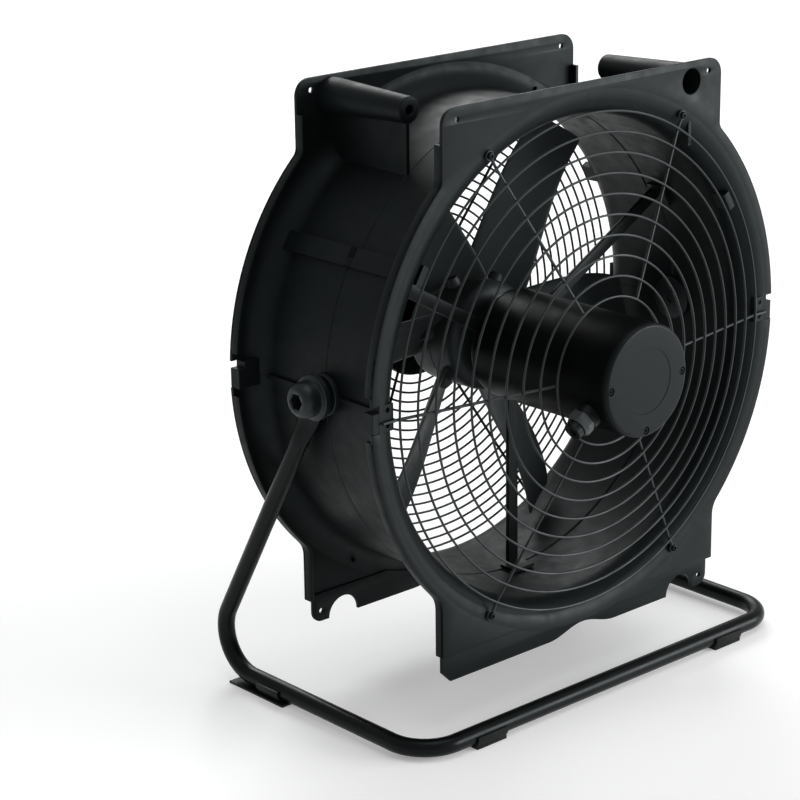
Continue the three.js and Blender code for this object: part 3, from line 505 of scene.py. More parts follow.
def ramp(nodes, links, value, low, high, start=0.3, end=0.7):
    """Maps a value to a range of numbers or colours."""
    if isinstance(low, tuple):
        mix = nodes.new("ShaderNodeValToRGB")
        mix.color_ramp.elements[0].position = start
        mix.color_ramp.elements[1].position = end
        mix.color_ramp.elements[0].color = (*low, 1)
        mix.color_ramp.elements[1].color = (*high, 1)
        links.new(value, mix.inputs["Fac"])
        return mix.outputs["Color"]
    spread = nodes.new("ShaderNodeMapRange")
    spread.inputs["From Min"].default_value = start
    spread.inputs["From Max"].default_value = end
    spread.inputs["To Min"].default_value = low
    spread.inputs["To Max"].default_value = high
    links.new(value, spread.inputs["Value"])
    return spread.outputs["Result"]


def bump(nodes, links, main, height, distance):
    node = nodes.new("ShaderNodeBump")
    node.inputs["Strength"].default_value = 0.5
    node.inputs["Distance"].default_value = distance
    links.new(height, node.inputs["Height"])
    links.new(node.outputs["Normal"], main.inputs["Normal"])


def mottled(name, dark, light, rough, specular, clouds, gloss, grain, depth):
    """Cloudy colour and uneven gloss, each from noise of a scale and detail, with a fine raised grain."""
    material, nodes, links, main = shader(name, dark, rough[0], specular)
    cloud = noise(nodes, links, *clouds)
    links.new(ramp(nodes, links, cloud, dark, light, 0.35, 0.7), main.inputs["Base Color"])
    patches = noise(nodes, links, *gloss)
    links.new(ramp(nodes, links, patches, rough[0], rough[1], 0.35, 0.65), main.inputs["Roughness"])
    bump(nodes, links, main, noise(nodes, links, grain, 2), depth)
    return material


def moulded(name, dark, light, rough, specular, grain=900, depth=0.00006):
    """Moulded plastic with fine spark grain."""
    return mottled(name, dark, light, rough, specular, (9, 4), (60, 5), grain, depth)


def painted(name, dark, light, rough, specular, peel=400, depth=0.00005):
    """Paint or powder coat with orange peel."""
    return mottled(name, dark, light, rough, specular, (14, 3), (45, 4), peel, depth)


def plated(name, dark, light, rough):
    """Zinc-plated or turned steel, with fine streaks."""
    material, nodes, links, main = shader(name, dark, rough[0], 0.5, metallic=1.0)
    streaks = noise(nodes, links, 120, 4, (1, 6, 1))
    links.new(ramp(nodes, links, streaks, dark, light), main.inputs["Base Color"])
    links.new(ramp(nodes, links, streaks, rough[0], rough[1]), main.inputs["Roughness"])
    bump(nodes, links, main, noise(nodes, links, 700, 2, (1, 8, 1)), 0.00003)
    return material


housing_mat = moulded("housing_plastic", (0.0036, 0.0050, 0.0053), (0.0056, 0.0074, 0.0077),
                      (0.40, 0.52), specular=0.15)
knob_mat = moulded("knob_plastic", (0.010, 0.0125, 0.013), (0.015, 0.018, 0.0185),
                   (0.33, 0.44), specular=0.3, grain=1200)
blade_mat = moulded("impeller_plastic", (0.019, 0.0225, 0.023), (0.026, 0.030, 0.0308),
                    (0.42, 0.54), specular=0.25)
gland_mat = moulded("gland_plastic", (0.004, 0.004, 0.004), (0.006, 0.006, 0.006),
                    (0.4, 0.5), specular=0.2, grain=1500)
nut_mat = moulded("gland_nut_plastic", (0.045, 0.05, 0.052), (0.065, 0.07, 0.072),
                  (0.35, 0.45), specular=0.4, grain=1500)
rubber_mat = moulded("foot_rubber", (0.005, 0.005, 0.005), (0.008, 0.008, 0.008),
                     (0.6, 0.75), specular=0.2, grain=700, depth=0.0001)
tube_mat = painted("painted_tube", (0.0028, 0.0033, 0.0034), (0.0042, 0.0048, 0.0049),
                   (0.26, 0.36), specular=0.14)
wire_mat = painted("coated_wire", (0.014, 0.0165, 0.017), (0.021, 0.0243, 0.025),
                   (0.34, 0.46), specular=0.25, peel=900, depth=0.00003)
rear_wire_mat = painted("fine_wire", (0.004, 0.0045, 0.0045), (0.006, 0.0066, 0.0066),
                        (0.34, 0.46), specular=0.2, peel=900, depth=0.00003)
cap_mat = painted("motor_cap_paint", (0.0045, 0.0058, 0.0062), (0.0062, 0.0076, 0.0080),
                  (0.36, 0.46), specular=0.12, peel=1100)
# The motor's body uses the cap's paint made about three times darker and less glossy. This is painted shade,
# standing in for the shade inside the drum, so its side does not take the lamps' light.
shaded_can_mat = painted("motor_paint_painted_shade", (0.0015, 0.0017, 0.0017), (0.0022, 0.0025, 0.0025),
                  (0.38, 0.48), specular=0.06, peel=1100)
support_mat = painted("support_paint", (0.0035, 0.0038, 0.0038), (0.005, 0.0055, 0.0055),
                      (0.35, 0.45), specular=0.15)
heel_mat = painted("heel_paint", (0.0035, 0.0038, 0.0038), (0.005, 0.0055, 0.0055),
                   (0.38, 0.5), specular=0.2)
steel_mat = plated("plated_steel", (0.35, 0.35, 0.34), (0.5, 0.5, 0.49), (0.28, 0.4))
black_screw_mat = plated("blackened_steel", (0.010, 0.0105, 0.011), (0.018, 0.019, 0.0195), (0.3, 0.42))
copper_mat = plated("laminations", (0.30, 0.26, 0.22), (0.4, 0.36, 0.32), (0.35, 0.5))


# ------------------------------------------------------------------ drum mouldings

def drum_wall(start, sweep, end):
    """Wall and rounded mouth over a range of angles, from the flange to a chamfered seam at y = end."""
    steps = 12
    turns = [i / steps * pi / 2 for i in range(steps + 1)]
    middle, back_r = BELL_R - HALF_DEPTH, BELL_R - DRUM_WALL
    section = [(DRUM_BORE + SEAM_CHAMFER, end), (DRUM_BORE, end - SEAM_CHAMFER)]
    section += [(BELL_OUT - BELL_R * cos(t), middle - BELL_R * sin(t)) for t in turns]
    section += [(BELL_OUT - back_r * cos(t), middle - back_r * sin(t)) for t in turns[::-1]]
    section += [(DRUM_OUT - 0.4, end - 0.6), (DRUM_OUT - 1, end)]
    return lathe(section, WALL_FACETS, start, sweep)


def flange_outline(lower, inset=0.0):
    """Right side of the flange's upper or lower outline, from the top or the strip to the axis."""
    rim = RIM_R - inset
    half, fillet = (FOOT_HALF, FOOT_FILLET) if lower else (TAB_HALF, TAB_FILLET)
    side, fillet = half - inset, fillet + inset
    z = sqrt((rim + fillet) ** 2 - (side + fillet) ** 2)
    turn = atan2(z, side + fillet)
    if lower:
        return [(side, -STRIP_TOP - inset), *arc(side + fillet, RIM_RISE - z, fillet, pi, pi - turn),
                *arc(0, RIM_RISE, rim, -turn, 0)]
    top, corner = TAB_TOP - inset, TAB_CORNER - inset
    return [*arc(side - corner, top - corner, corner, pi / 2, 0),
            *arc(side + fillet, RIM_RISE + z, fillet, pi, pi + turn), *arc(0, RIM_RISE, rim, turn, 0)]


def flange_upper():
    """Closed outline of the upper flange half round the mouth, down to its side notches."""
    notch = RIM_RISE + JOINT_NOTCH
    inner_r = BELL_OUT - SINK
    inner_end = sqrt(inner_r ** 2 - notch ** 2)
    start = atan2(notch, inner_end)
    outer = [p for p in flange_outline(False) if p[1] > notch]
    outer += [(sqrt(RIM_R ** 2 - JOINT_NOTCH ** 2), notch), (inner_end, notch)]
    left = [(-x, z) for x, z in outer[::-1]]
    return outer + arc(0, 0, inner_r, start, pi - start)[1:-1] + left


def flange_lower():
    """Closed outline of the lower flange's right part, between the notch and the bottom strip."""
    notch = RIM_RISE - JOINT_NOTCH
    inner_r = BELL_OUT - SINK
    inner_end = sqrt(inner_r ** 2 - notch ** 2)
    outer = [p for p in flange_outline(True) if p[1] < notch]
    outer += [(sqrt(RIM_R ** 2 - JOINT_NOTCH ** 2), notch), (inner_end, notch)]
    return outer + arc(0, 0, inner_r, atan2(notch, inner_end), -asin(STRIP_TOP / inner_r))[1:]


def flange_shape(lower):
    """Flat part of the flange: two lower plates beside the mouth, or an upper one with its holes."""
    if lower:
        side = plate(flange_lower(), [], -HALF_DEPTH, FLANGE_T)
        return side.turned(MIRROR_X).merge(side)
    across, up = TAB_HALF - FIXING_INSET[0], TAB_TOP - FIXING_INSET[1]
    holes = [circle(side * across, up, FIXING_HOLE_R) for side in (-1, 1)]
    holes.append(circle(HANDLE_X, HANDLE_Z, HANDLE_BORE_R, 48))
    return plate(flange_upper(), holes, -HALF_DEPTH, FLANGE_T)


def edge_lip(lower):
    """Lip along the flange's edge, turned back towards the drum, from the notch on."""
    notch = RIM_RISE + (-JOINT_NOTCH if lower else JOINT_NOTCH)
    limit = TAB_TOP - LIP_START

    def keep(points):
        return [p for p in points if (p[1] < notch if lower else notch < p[1] < limit)]

    outer, inner = keep(flange_outline(lower)), keep(flange_outline(lower, LIP_T))
    if lower:
        inner = [(FOOT_HALF - LIP_T, -STRIP_TOP), *[p for p in inner if p[1] > -STRIP_TOP]]
    else:
        outer.insert(0, (TAB_HALF, limit))
        inner.insert(0, (TAB_HALF - LIP_T, limit))
    strip = plate(outer + inner[::-1], [], LIP_SINK - HALF_DEPTH, LIP_DEPTH - LIP_SINK, 0.4)
    return Shape().merge(strip).merge(strip, MIRROR_X)


def bottom_strip():
    """Stepped strip along the bottom of the flange, with its relief, handle notch and fixing hole."""
    outer, rnd = FOOT_HALF - STRIP_INSET, FOOT_CHAMFER
    top = FLANGE_T - STRIP_TOP
    leave = asin(top / STRIP_MOUTH_R)
    waves = [i / 12 - 1 for i in range(25)]
    outline = [
        (-FOOT_HALF, top),
        (-FOOT_HALF, rnd - FOOT_BOTTOM),
        (rnd - FOOT_HALF, -FOOT_BOTTOM),
        *[(RELIEF_HALF * w, RELIEF_HEIGHT * (1 + cos(pi * w)) / 2 - FOOT_BOTTOM) for w in waves],
        *arc(HANDLE_X, -FOOT_BOTTOM, NOTCH_R, pi, 0),
        *arc(outer - rnd, rnd - FOOT_BOTTOM, rnd, -pi / 2, 0),
        (outer, top),
        *arc(0, 0, STRIP_MOUTH_R, leave, -pi - leave),
    ]
    hole = circle(outer - rnd, rnd - FOOT_BOTTOM, FIXING_HOLE_R)
    return plate(outline, [hole], STRIP_STEP - HALF_DEPTH, FLANGE_T)


def handle_shape():
    """Tapered handle with a rounded, bored tip, and the web that carries it on the drum."""
    root, end = GAP - HALF_DEPTH, HANDLE_REACH - HALF_DEPTH
    back = end - HANDLE_TIP_WALL
    tip, bore = HANDLE_TIP_R, HANDLE_TIP_BORE_R
    section = [(HANDLE_BORE_R, root), (HANDLE_ROOT_R, root), (tip + 1.5, end - 3.5), (tip + 1.2, end - 1.4),
               (tip + 0.2, end - 0.3), (tip - 1, end), (bore + 0.6, end), (bore, end - 0.6), (bore, back),
               (tip - 3, back)]
    shape = lathe(section, 64).turned(moved(HANDLE_X, 0, HANDLE_Z))
    low = sqrt(DRUM_OUT ** 2 - (HANDLE_X + WEB_T / 2) ** 2) - DRUM_WALL / 2
    front, rear = SINK - HALF_DEPTH, SEAM_STEP - GAP
    outline = [(front, low), (rear, low), (rear, HANDLE_Z - tip + 1), (front, HANDLE_Z - HANDLE_ROOT_R + 2)]
    web = [[(x, y, z) for y, z in outline] for x in (HANDLE_X - WEB_T / 2, HANDLE_X + WEB_T / 2)]
    return shape.merge(loft(web))


def side_ledge(angle, end):
    """Raised ledge along the drum at an angle, from the flange to y = end."""
    half = LEDGE_WIDTH / 2
    block = box((DRUM_BORE + SINK, FLANGE_T - HALF_DEPTH, -half), (DRUM_OUT + LEDGE_RISE, end, half))
    return block.turned(about_axis(angle))


def parting_rib(lower):
    """Rib on the drum's right side, along the edge where upper and lower mouldings meet."""
    low, high = (-RIB_T / 2, -HALF_GAP) if lower else (HALF_GAP, RIB_T / 2)
    return box((DRUM_BORE + SINK, RIB_FRONT, low), (DRUM_OUT + RIB_RISE, RIB_BACK, high))


def moulding(lower):
    """One of the four housing mouldings, facing -Y, with its wall, flange and ribs."""
    shape = Shape()
    seam, past = -HALF_GAP, 180 - LEDGE_ANGLE
    if lower:
        shape.merge(drum_wall(180 + SLIT, 180 - 2 * SLIT, seam))
        shape.merge(bottom_strip())
    else:
        shape.merge(drum_wall(SLIT, past - SLIT, seam))
        shape.merge(drum_wall(past, 90 - past - SLIT, seam + SEAM_STEP))
        shape.merge(drum_wall(90, LEDGE_ANGLE - 90, seam - SEAM_STEP))
        shape.merge(drum_wall(LEDGE_ANGLE, past - SLIT, seam))
        shape.merge(side_ledge(LEDGE_ANGLE, seam))
        shape.merge(side_ledge(past, seam + SEAM_STEP))
        shape.merge(handle_shape())
    shape.merge(flange_shape(lower))
    shape.merge(edge_lip(lower))
    rib = parting_rib(lower)
    return shape.merge(rib, MIRROR_X).merge(rib)


for lower, level in ((False, "upper"), (True, "lower")):
    half = moulding(lower)
    piece(f"drum_front_{level}", half, housing_mat, "housing", f"housing_front_{level}",
          crease=32)
    piece(f"drum_rear_{level}", half.turned(HALF_TURN), housing_mat, "housing", f"housing_rear_{level}",
          crease=32)


# ------------------------------------------------------------------ grilles

def spoke_back(r):
    """Back of a grille's spokes at a radius: flat on the flange, then rising as a cone."""
    return SPOKE_BACK - GRILLE_SLOPE * max(0, GRILLE_FOOT_R - r)


def grille(inner, count, wire, steps):
    """Rings of wire on spokes, two of which reach the side joints and the others their eyelets."""
    pitch = (GRILLE_FOOT_R - inner) / (count - 1)
    shape = Shape()
    for i in range(count):
        r = inner + i * pitch
        shape.merge(wire_ring(r, spoke_back(r) - 2 * WIRE_R - 0.5 * wire, wire, steps))
    front = SPOKE_BACK - EYELET_T
    eyelet = lathe([(EYELET_BORE_R, front), (EYELET_R - 0.4, front), (EYELET_R, front + 0.4),
                    (EYELET_R, SPOKE_BACK), (EYELET_BORE_R, SPOKE_BACK)], 32)
    for i in range(SPOKES):
        angle = i * 360 / SPOKES
        on_joint = angle % 180 == 0
        turn = about_axis(angle)
        end = JOINT_SPOKE_END if on_joint else EYELET_PLACE - EYELET_R + 1.5
        stops = [(r, spoke_back(r) - WIRE_R, 0) for r in (inner - wire, GRILLE_FOOT_R, end)]
        shape.merge(rod(stops[0], stops[1], WIRE_R, 12), turn)
        shape.merge(rod(stops[1], stops[2], WIRE_R, 12), turn)
        if not on_joint:
            shape.merge(eyelet, turn @ moved(EYELET_PLACE, 0, 0))
    return shape


def middle_disc():
    """Closed disc inside the rear grille's smallest ring."""
    back = spoke_back(REAR_INNER_R)
    front = back - REAR_DISC_T
    return lathe([(0, front), (REAR_INNER_R - 1.2, front), (REAR_INNER_R, front + 1.2),
                  (REAR_INNER_R, back), (0, back)], 96)


front_guard = grille(FRONT_INNER_R, FRONT_RINGS, RING_WIRE_R, 144)
rear_guard = grille(REAR_INNER_R, REAR_RINGS, REAR_WIRE_R, 120).merge(middle_disc()).turned(HALF_TURN)
piece("front_guard", front_guard, wire_mat, "housing", "front_grille")
piece("rear_guard", rear_guard, rear_wire_mat, "housing", "rear_grille")


# ------------------------------------------------------------------ side joints and screws

def side_joint():
    """Block on the right that clamps the upper and lower mouldings together."""
    inner, half = RIM_R - JOINT_REACH, JOINT_HEIGHT / 2
    front, back, top = GAP - HALF_DEPTH, JOINT_DEPTH - HALF_DEPTH, RIM_RISE + half
    body = box((inner, front, RIM_RISE - half), (RIM_R - 1, back, top))
    corner = box((RIM_R - JOINT_CORNER[0], front - 1, top - JOINT_CORNER[1]), (RIM_R, back + 1, top + 1))
    eyes = []
    for side in (-1, 1):
        x, z = inner + EYE_PLACE, RIM_RISE + side * EYE_PLACE
        eyes.append(rod((x, front - 1, z), (x, front + EYE_DEPTH, z), EYE_R, 24))
    return carved(body, corner, *eyes)


joint = side_joint()
for name, turn in (("front_right", None), ("front_left", MIRROR_X), ("rear_left", HALF_TURN),
                   ("rear_right", HALF_TURN @ MIRROR_X)):
    piece(f"joint_{name}", Shape().merge(joint, turn), housing_mat, "housing", f"side_joint_{name}",
          edge=0.5)


def screw(radius, height, length):
    """Round-headed screw with a hexagon socket, its seat at y = 0 and its shank towards +Y."""
    def section(t):
        socket = hexagon(radius * 0.45, t)
        return [(0, -height * 0.45), (socket, -height * 0.45), (socket, -height), (radius * 0.7, -height),
                (radius * 0.93, -height * 0.72), (radius, -height * 0.3), (radius, 0), (SCREW_R, 0),
                (SCREW_R, length), (0, length)]
    return lathe(section, 48)


grille_screw = screw(SCREW_HEAD_R, SCREW_HEAD_T, SCREW_LENGTH)
for i, angle in enumerate(SCREW_ANGLES):
    seat = about_axis(angle) @ moved(EYELET_PLACE, SPOKE_BACK - WIRE_R - GAP, 0) @ about_axis(-angle)
    placed = grille_screw.turned(seat)
    piece(f"front_screw_{i + 1}", placed, black_screw_mat, "housing", f"front_grille_screw_{i + 1}")
    piece(f"rear_screw_{i + 1}", placed.turned(HALF_TURN), black_screw_mat, "housing",
          f"rear_grille_screw_{i + 1}")


# ------------------------------------------------------------------ motor

CAP_SCREWS = [(CAP_SCREW_PLACE * cos(radians(a)), CAP_SCREW_PLACE * sin(radians(a)))
              for a in CAP_SCREW_ANGLES]


def motor_can():
    """Motor body, open at the front, with a rounded rear edge."""
    inner, floor = MOTOR_R - MOTOR_WALL, MOTOR_REAR - MOTOR_WALL
    turns = [i * pi / 8 for i in range(5)]
    section = [(inner, MOTOR_FRONT), (MOTOR_R - 0.5, MOTOR_FRONT), (MOTOR_R, MOTOR_FRONT + 0.5)]
    section += [(inner + MOTOR_WALL * cos(t), floor + MOTOR_WALL * sin(t)) for t in turns]
    section += [(MOTOR_REAR_BORE_R, MOTOR_REAR), (MOTOR_REAR_BORE_R, floor), (inner, floor)]
    return lathe(section, 128)


def end_cap():
    """Cap with a soft rim, a shallow middle disc and pockets for its three screws."""
    back = MOTOR_FRONT - GAP
    turns = [i * pi / 16 for i in range(8, -1, -1)]
    section = [(0, CAP_FACE + CAP_STEP), (CAP_STEP_R - 0.6, CAP_FACE + CAP_STEP), (CAP_STEP_R, CAP_FACE)]
    section += [(MOTOR_R - CAP_ROUND * (1 - cos(t)), CAP_FACE + CAP_ROUND * (1 - sin(t))) for t in turns]
    section += [(MOTOR_R, back - 0.4), (MOTOR_R - 0.4, back), (0, back)]
    pockets = [rod((x, CAP_FACE - 1, z), (x, CAP_FACE + CAP_POCKET, z), CAP_SCREW_R + GAP, 32)
               for x, z in CAP_SCREWS]
    return carved(lathe(section, 128), *pockets)


# The body wears the darkened copy of the motor paint: painted shade for the inside of the drum.
piece("motor_can", motor_can(), shaded_can_mat, "housing", "motor_body")
piece("motor_cap", end_cap(), cap_mat, "housing", "motor_end_cap", crease=20)
cap_screw = screw(CAP_SCREW_R, CAP_SCREW_HEAD_T, CAP_SCREW_LENGTH)
for i, (x, z) in enumerate(CAP_SCREWS):
    placed = cap_screw.turned(moved(x, CAP_FACE + CAP_POCKET - GAP, z))
    piece(f"cap_screw_{i + 1}", placed, black_screw_mat, "housing", f"motor_cap_screw_{i + 1}")

# Turns +Y to the gland's own line, with y = 0 on the motor's surface.
GLAND_LINE = moved(0, GLAND_Y, 0) @ about_axis(GLAND_ANGLE) @ moved(MOTOR_R, 0, 0) @ Y_TO_X


def gland_body():
    """Bored body of the gland, hollowed at its foot to sit on the motor."""
    foot, step, end = -GLAND_SINK, GLAND_NUT_START - GAP, GLAND_LENGTH
    base, bore = GLAND_NUT_R, GLAND_BORE_R
    section = [(bore, foot), (base, foot), (base, step - 0.7), (base - 0.7, step), (GLAND_R, step),
               (GLAND_R, end - 0.8), (GLAND_R - 0.8, end), (bore + 0.4, end), (bore, end - 0.5)]
    motor = rod((0, MOTOR_FRONT, 0), (0, MOTOR_REAR, 0), MOTOR_R + GAP, 128)
    return carved(lathe(section, 48).turned(GLAND_LINE), motor)


def gland_nut():
    """Hexagon nut with rounded corners and a coned front."""
    start, end, inner = GLAND_NUT_START, GLAND_NUT_END, GLAND_R + GAP

    def section(t):
        flat = min(hexagon(GLAND_NUT_R + 1, t), GLAND_NUT_R + 0.5)
        return [(inner, start), (flat - 0.6, start), (flat, start + 0.6), (flat, end - 4),
                (inner + 2.2, end - 1.6), (inner + 1.4, end), (inner, end)]
    return lathe(section, 72).turned(GLAND_LINE)


piece("gland", gland_body(), gland_mat, "housing", "gland_body")
piece("gland_clamp_nut", gland_nut(), nut_mat, "housing", "gland_nut", crease=25)


def support():
    """Flat star of arms behind the motor, each ending in a shoe that follows the drum's wall."""
    half = asin(ARM_WIDTH / 2 / SUPPORT_PLATE_R)
    angles = [radians(a) for a in sorted(ARM_ANGLES)]
    outline = []
    for angle, following in zip(angles, [*angles[1:], angles[0] + 2 * pi]):
        for side in (-1, 1):
            x, z = SHOE_OUT - SHOE_T / 2, side * ARM_WIDTH / 2
            outline.append((x * cos(angle) - z * sin(angle), x * sin(angle) + z * cos(angle)))
        outline += arc(0, 0, SUPPORT_PLATE_R, angle + half, following - half)
    shape = plate(outline, [circle(0, 0, SUPPORT_BORE, 64)], SUPPORT_FRONT, SUPPORT_T, 0.6)
    shoe_in, shoe_front = SHOE_OUT - SHOE_T, SUPPORT_BACK - SHOE_LENGTH
    shoe = [(shoe_in, shoe_front), (SHOE_OUT, shoe_front), (SHOE_OUT, SUPPORT_BACK), (shoe_in, SUPPORT_BACK)]
    spread = degrees(2 * asin(SHOE_WIDTH / 2 / SHOE_OUT))
    for angle in ARM_ANGLES:
        shape.merge(lathe(shoe, 360, angle - spread / 2, spread))
    return shape


piece("motor_arms", support(), support_mat, "housing", "motor_support")


# ------------------------------------------------------------------ impeller

def hub_half():
    """Front half of the hub, a hollow cup round a boss, up to the split."""
    front, split, inner = HUB_SPLIT - HUB_HALF, HUB_SPLIT - HALF_GAP, HUB_R - HUB_WALL
    bore, floor = SHAFT_R + GAP, HUB_SPLIT - HUB_HALF + HUB_FLOOR
    across, along = HUB_ROUND
    turns = [i * pi / 16 for i in range(9)]
    section = [(bore, front)]
    section += [(HUB_R - across * (1 - sin(t)), front + along * (1 - cos(t))) for t in turns]
    section += [(HUB_R, split - 0.5), (HUB_R - 0.5, split), (inner, split), (inner, floor + 8),
                (inner - 10, floor), (BOSS_R, floor), (BOSS_R, split), (bore, split)]
    return lathe(section, 120)


def between(start, end, share):
    return start + (end - start) * share


def blade_section(share):
    """One cambered section as a ring of points, at a share of the way from the root to the tip."""
    points = 14
    radius = between(HUB_R + BLADE_CLEAR, BLADE_TIP, share)
    out = (radius - HUB_R) / (BLADE_TIP - HUB_R)
    taper = max(0.0, (share - TAPER_START) / (1 - TAPER_START))
    chord = between(BLADE_ROOT_CHORD, BLADE_TIP_CHORD, out) * (1 - BLADE_TAPER * taper ** 3)
    pitch = radians(between(BLADE_ROOT_PITCH, BLADE_TIP_PITCH, out))
    thick = between(BLADE_ROOT_T, BLADE_TIP_T, out) / 2
    turn = radians((BLADE_SWEEP + BLADE_BOW * (1 - out)) * out)
    ring = []
    for i in range(2 * points):
        t = pi * i / points
        u = (1 - cos(t)) / 2
        lift = copysign(thick * abs(sin(t)) ** 0.8, pi - t)
        along = (u - 0.5) * chord
        off = lift + chord * BLADE_CAMBER * 4 * u * (1 - u)
        across = along * cos(pitch) - off * sin(pitch)
        depth = along * sin(pitch) + off * cos(pitch)
        angle = turn + across / radius
        ring.append((radius * cos(angle), HUB_SPLIT + depth, radius * sin(angle)))
    return ring


def blade_stub():
    """Headed round root of a blade, pointing along +X."""
    head = HUB_R - HUB_WALL - GAP - STUB_NECK
    neck = head + STUB_HEAD_T
    section = [(0, head), (STUB_HEAD_R, head), (STUB_HEAD_R, neck), (STUB_R, neck), (STUB_R, HUB_R + 4),
               (STUB_R - 2, HUB_R + 10), (0, HUB_R + 10)]
    return lathe(section, 32).turned(moved(0, HUB_SPLIT, 0) @ Y_TO_X)


def blade():
    """Blade along +X, with its root."""
    shares = [0, 0.02, *[i / 16 for i in range(1, 15)], TAPER_START, 0.965, 0.985, 1]
    rings = [blade_section(share) for share in shares]
    shape = loft(rings, capped=False)
    n = len(rings[0])
    for base, flip in ((0, True), ((len(rings) - 1) * n, False)):
        for j in range(n // 2):
            corners = [base + j, base + j + 1, base + n - 1 - j, base + (n - j) % n]
            face = list(dict.fromkeys(corners))
            if len(face) > 2:
                shape.faces.append(face[::-1] if flip else face)
    return shape.merge(blade_stub())


BLADE_TURNS = [about_axis(BLADE_PHASE - i * 360 / BLADES) for i in range(BLADES)]
OVER_SPLIT = moved(0, 2 * HUB_SPLIT, 0) @ Matrix.Scale(-1, 4, (0, 1, 0))
front_cup = hub_half()
socket = rod((28, HUB_SPLIT, 0), (HUB_R + 5, HUB_SPLIT, 0), STUB_R + GAP, 32)
sockets = [socket.turned(turn) for turn in BLADE_TURNS]
for name, cup in (("front", front_cup), ("rear", front_cup.turned(OVER_SPLIT))):
    piece(f"hub_cup_{name}", carved(cup, *sockets), blade_mat, "impeller", f"hub_{name}")
one_blade = blade()
for i, turn in enumerate(BLADE_TURNS):
    piece(f"fan_blade_{i + 1}", one_blade.turned(turn), blade_mat, "impeller", f"blade_{i + 1}",
          crease=60)


def shaft_rod():
    front, back, r = CAP_FACE + SHAFT_SINK, HUB_BACK + NUT_T + 4, SHAFT_R
    section = [(0, front), (r - 0.6, front), (r, front + 0.6), (r, back - 0.8), (r - 0.8, back), (0, back)]
    return lathe(section, 64)


def shaft_nut():
    start, end, bore = HUB_BACK + GAP, HUB_BACK + NUT_T, SHAFT_R + GAP

    def section(t):
        flat = hexagon(NUT_R, t)
        return [(bore, start), (flat, start), (flat, end - 1), (min(flat, NUT_R - 1.2), end), (bore, end)]
    return lathe(section, 72)


piece("shaft_rod", shaft_rod(), steel_mat, "impeller", "shaft")
piece("shaft_end_nut", shaft_nut(), steel_mat, "impeller", "hub_nut")


# ------------------------------------------------------------------ stand

def rounded_path(corners, radius, steps):
    """Path through corners, each of them rounded to the radius."""
    corners = [Vector(c) for c in corners]
    points = [corners[0]]
    for before, corner, after in zip(corners, corners[1:], corners[2:]):
        into = (corner - before).normalized()
        out = (after - corner).normalized()
        turn = into.angle(out)
        start = corner - into * (radius * tan(turn / 2))
        middle = corner + (out - into).normalized() * (radius / cos(turn / 2))
        axis = into.cross(out).normalized()
        for k in range(steps + 1):
            points.append(middle + Matrix.Rotation(turn * k / steps, 3, axis) @ (start - middle))
    return points + [corners[-1]]


def tube_size(distance):
    """Half thickness and half width of the tube at a distance from its pivot."""
    past = min(0.0, distance) / FLAT_HALF
    t = min(1.0, max(0.0, (distance - FLAT_LENGTH) / FLARE_LENGTH))
    blend = t * t * (3 - 2 * t)
    thin = between(FLAT_T / 2, TUBE_R, blend)
    wide = between(FLAT_HALF, TUBE_R, blend)
    return thin, wide * sqrt(max(0.004, 1 - past * past))


def tube_ring(place, thin, across, size):
    """Ring of points round the tube, squarer where it is squashed."""
    power = 1 if size[0] > TUBE_R - 0.01 else 0.7
    ring = []
    for j in range(32):
        t = 2 * pi * j / 32
        c = copysign(abs(cos(t)) ** power, cos(t))
        ring.append(place + thin * (size[0] * c) + across * (size[1] * sin(t)))
    return ring


def stand_frame():
    """One bent tube from pivot to pivot, squashed flat at both ends."""
    half = [(0, 0), (HEEL_CORNER, RUNNER_Z), (STAND_FRONT, RUNNER_Z)]
    corners = [(-STAND_HALF, y, z) for y, z in half] + [(STAND_HALF, y, z) for y, z in half[::-1]]
    route = rounded_path(corners, BEND_R, 18)
    down = (route[1] - route[0]).normalized()
    marks = [-FLAT_HALF * cos(pi * i / 20) for i in range(10)] + [0, 12]
    marks += [FLAT_LENGTH + FLARE_LENGTH * i / 12 for i in range(13)]
    first = [route[0] + down * m for m in marks]
    last = [Vector((-p.x, p.y, p.z)) for p in first[::-1]]
    points = first + route[1:-1] + last
    sizes = [tube_size(m) for m in marks]
    sizes += [(TUBE_R, TUBE_R)] * (len(route) - 2) + sizes[::-1]
    rings = []
    thin = Vector((1, 0, 0))
    before = None
    for i, point in enumerate(points):
        tangent = (points[min(i + 1, len(points) - 1)] - points[max(i - 1, 0)]).normalized()
        if before:
            thin = before.rotation_difference(tangent) @ thin
        before = tangent
        rings.append(tube_ring(point, thin, tangent.cross(thin), sizes[i]))
    bores = [rod((side * STAND_HALF - 12, 0, 0), (side * STAND_HALF + 12, 0, 0), STUD_R + 0.6, 40)
             for side in (-1, 1)]
    return carved(loft(rings), *bores)


def clip(length):
    """Clip round the floor tube, open at the top and flat at the bottom, centred on y = 0."""
    outer, inner, high = TUBE_R + FOOT_T, TUBE_R + GAP, CLIP_RISE
    z = RUNNER_Z
    right = arc(0, z, outer, asin(high / outer), -acos(TUBE_R / outer), 0.02)
    left = [(-x, y) for x, y in right][::-1]
    room = arc(0, z, inner, pi - asin(high / inner), 2 * pi + asin(high / inner), 0.02)
    outline = [*right, (TUBE_R, z - outer), (-TUBE_R, z - outer), *left, *room]
    return plate(outline, [], -length / 2, length, 0.6)


def heel_plate():
    """Clip with a long flat sole, under the tube's rear bend."""
    shape = clip(HEEL_CLIP_LENGTH).turned(moved(0, HEEL_PLACE - HEEL_CLIP_LENGTH / 2, 0))
    x, y = HEEL_WIDTH / 2, HEEL_LENGTH / 2
    sole = plate([(-x, -y), (x, -y), (x, y), (-x, y)], [], 0, FOOT_T - GAP, 0.4)
    lay_flat = moved(0, HEEL_PLACE, RUNNER_Z - TUBE_R - FOOT_T) @ Matrix.Rotation(pi / 2, 4, "X")
    return shape.merge(sole, lay_flat)


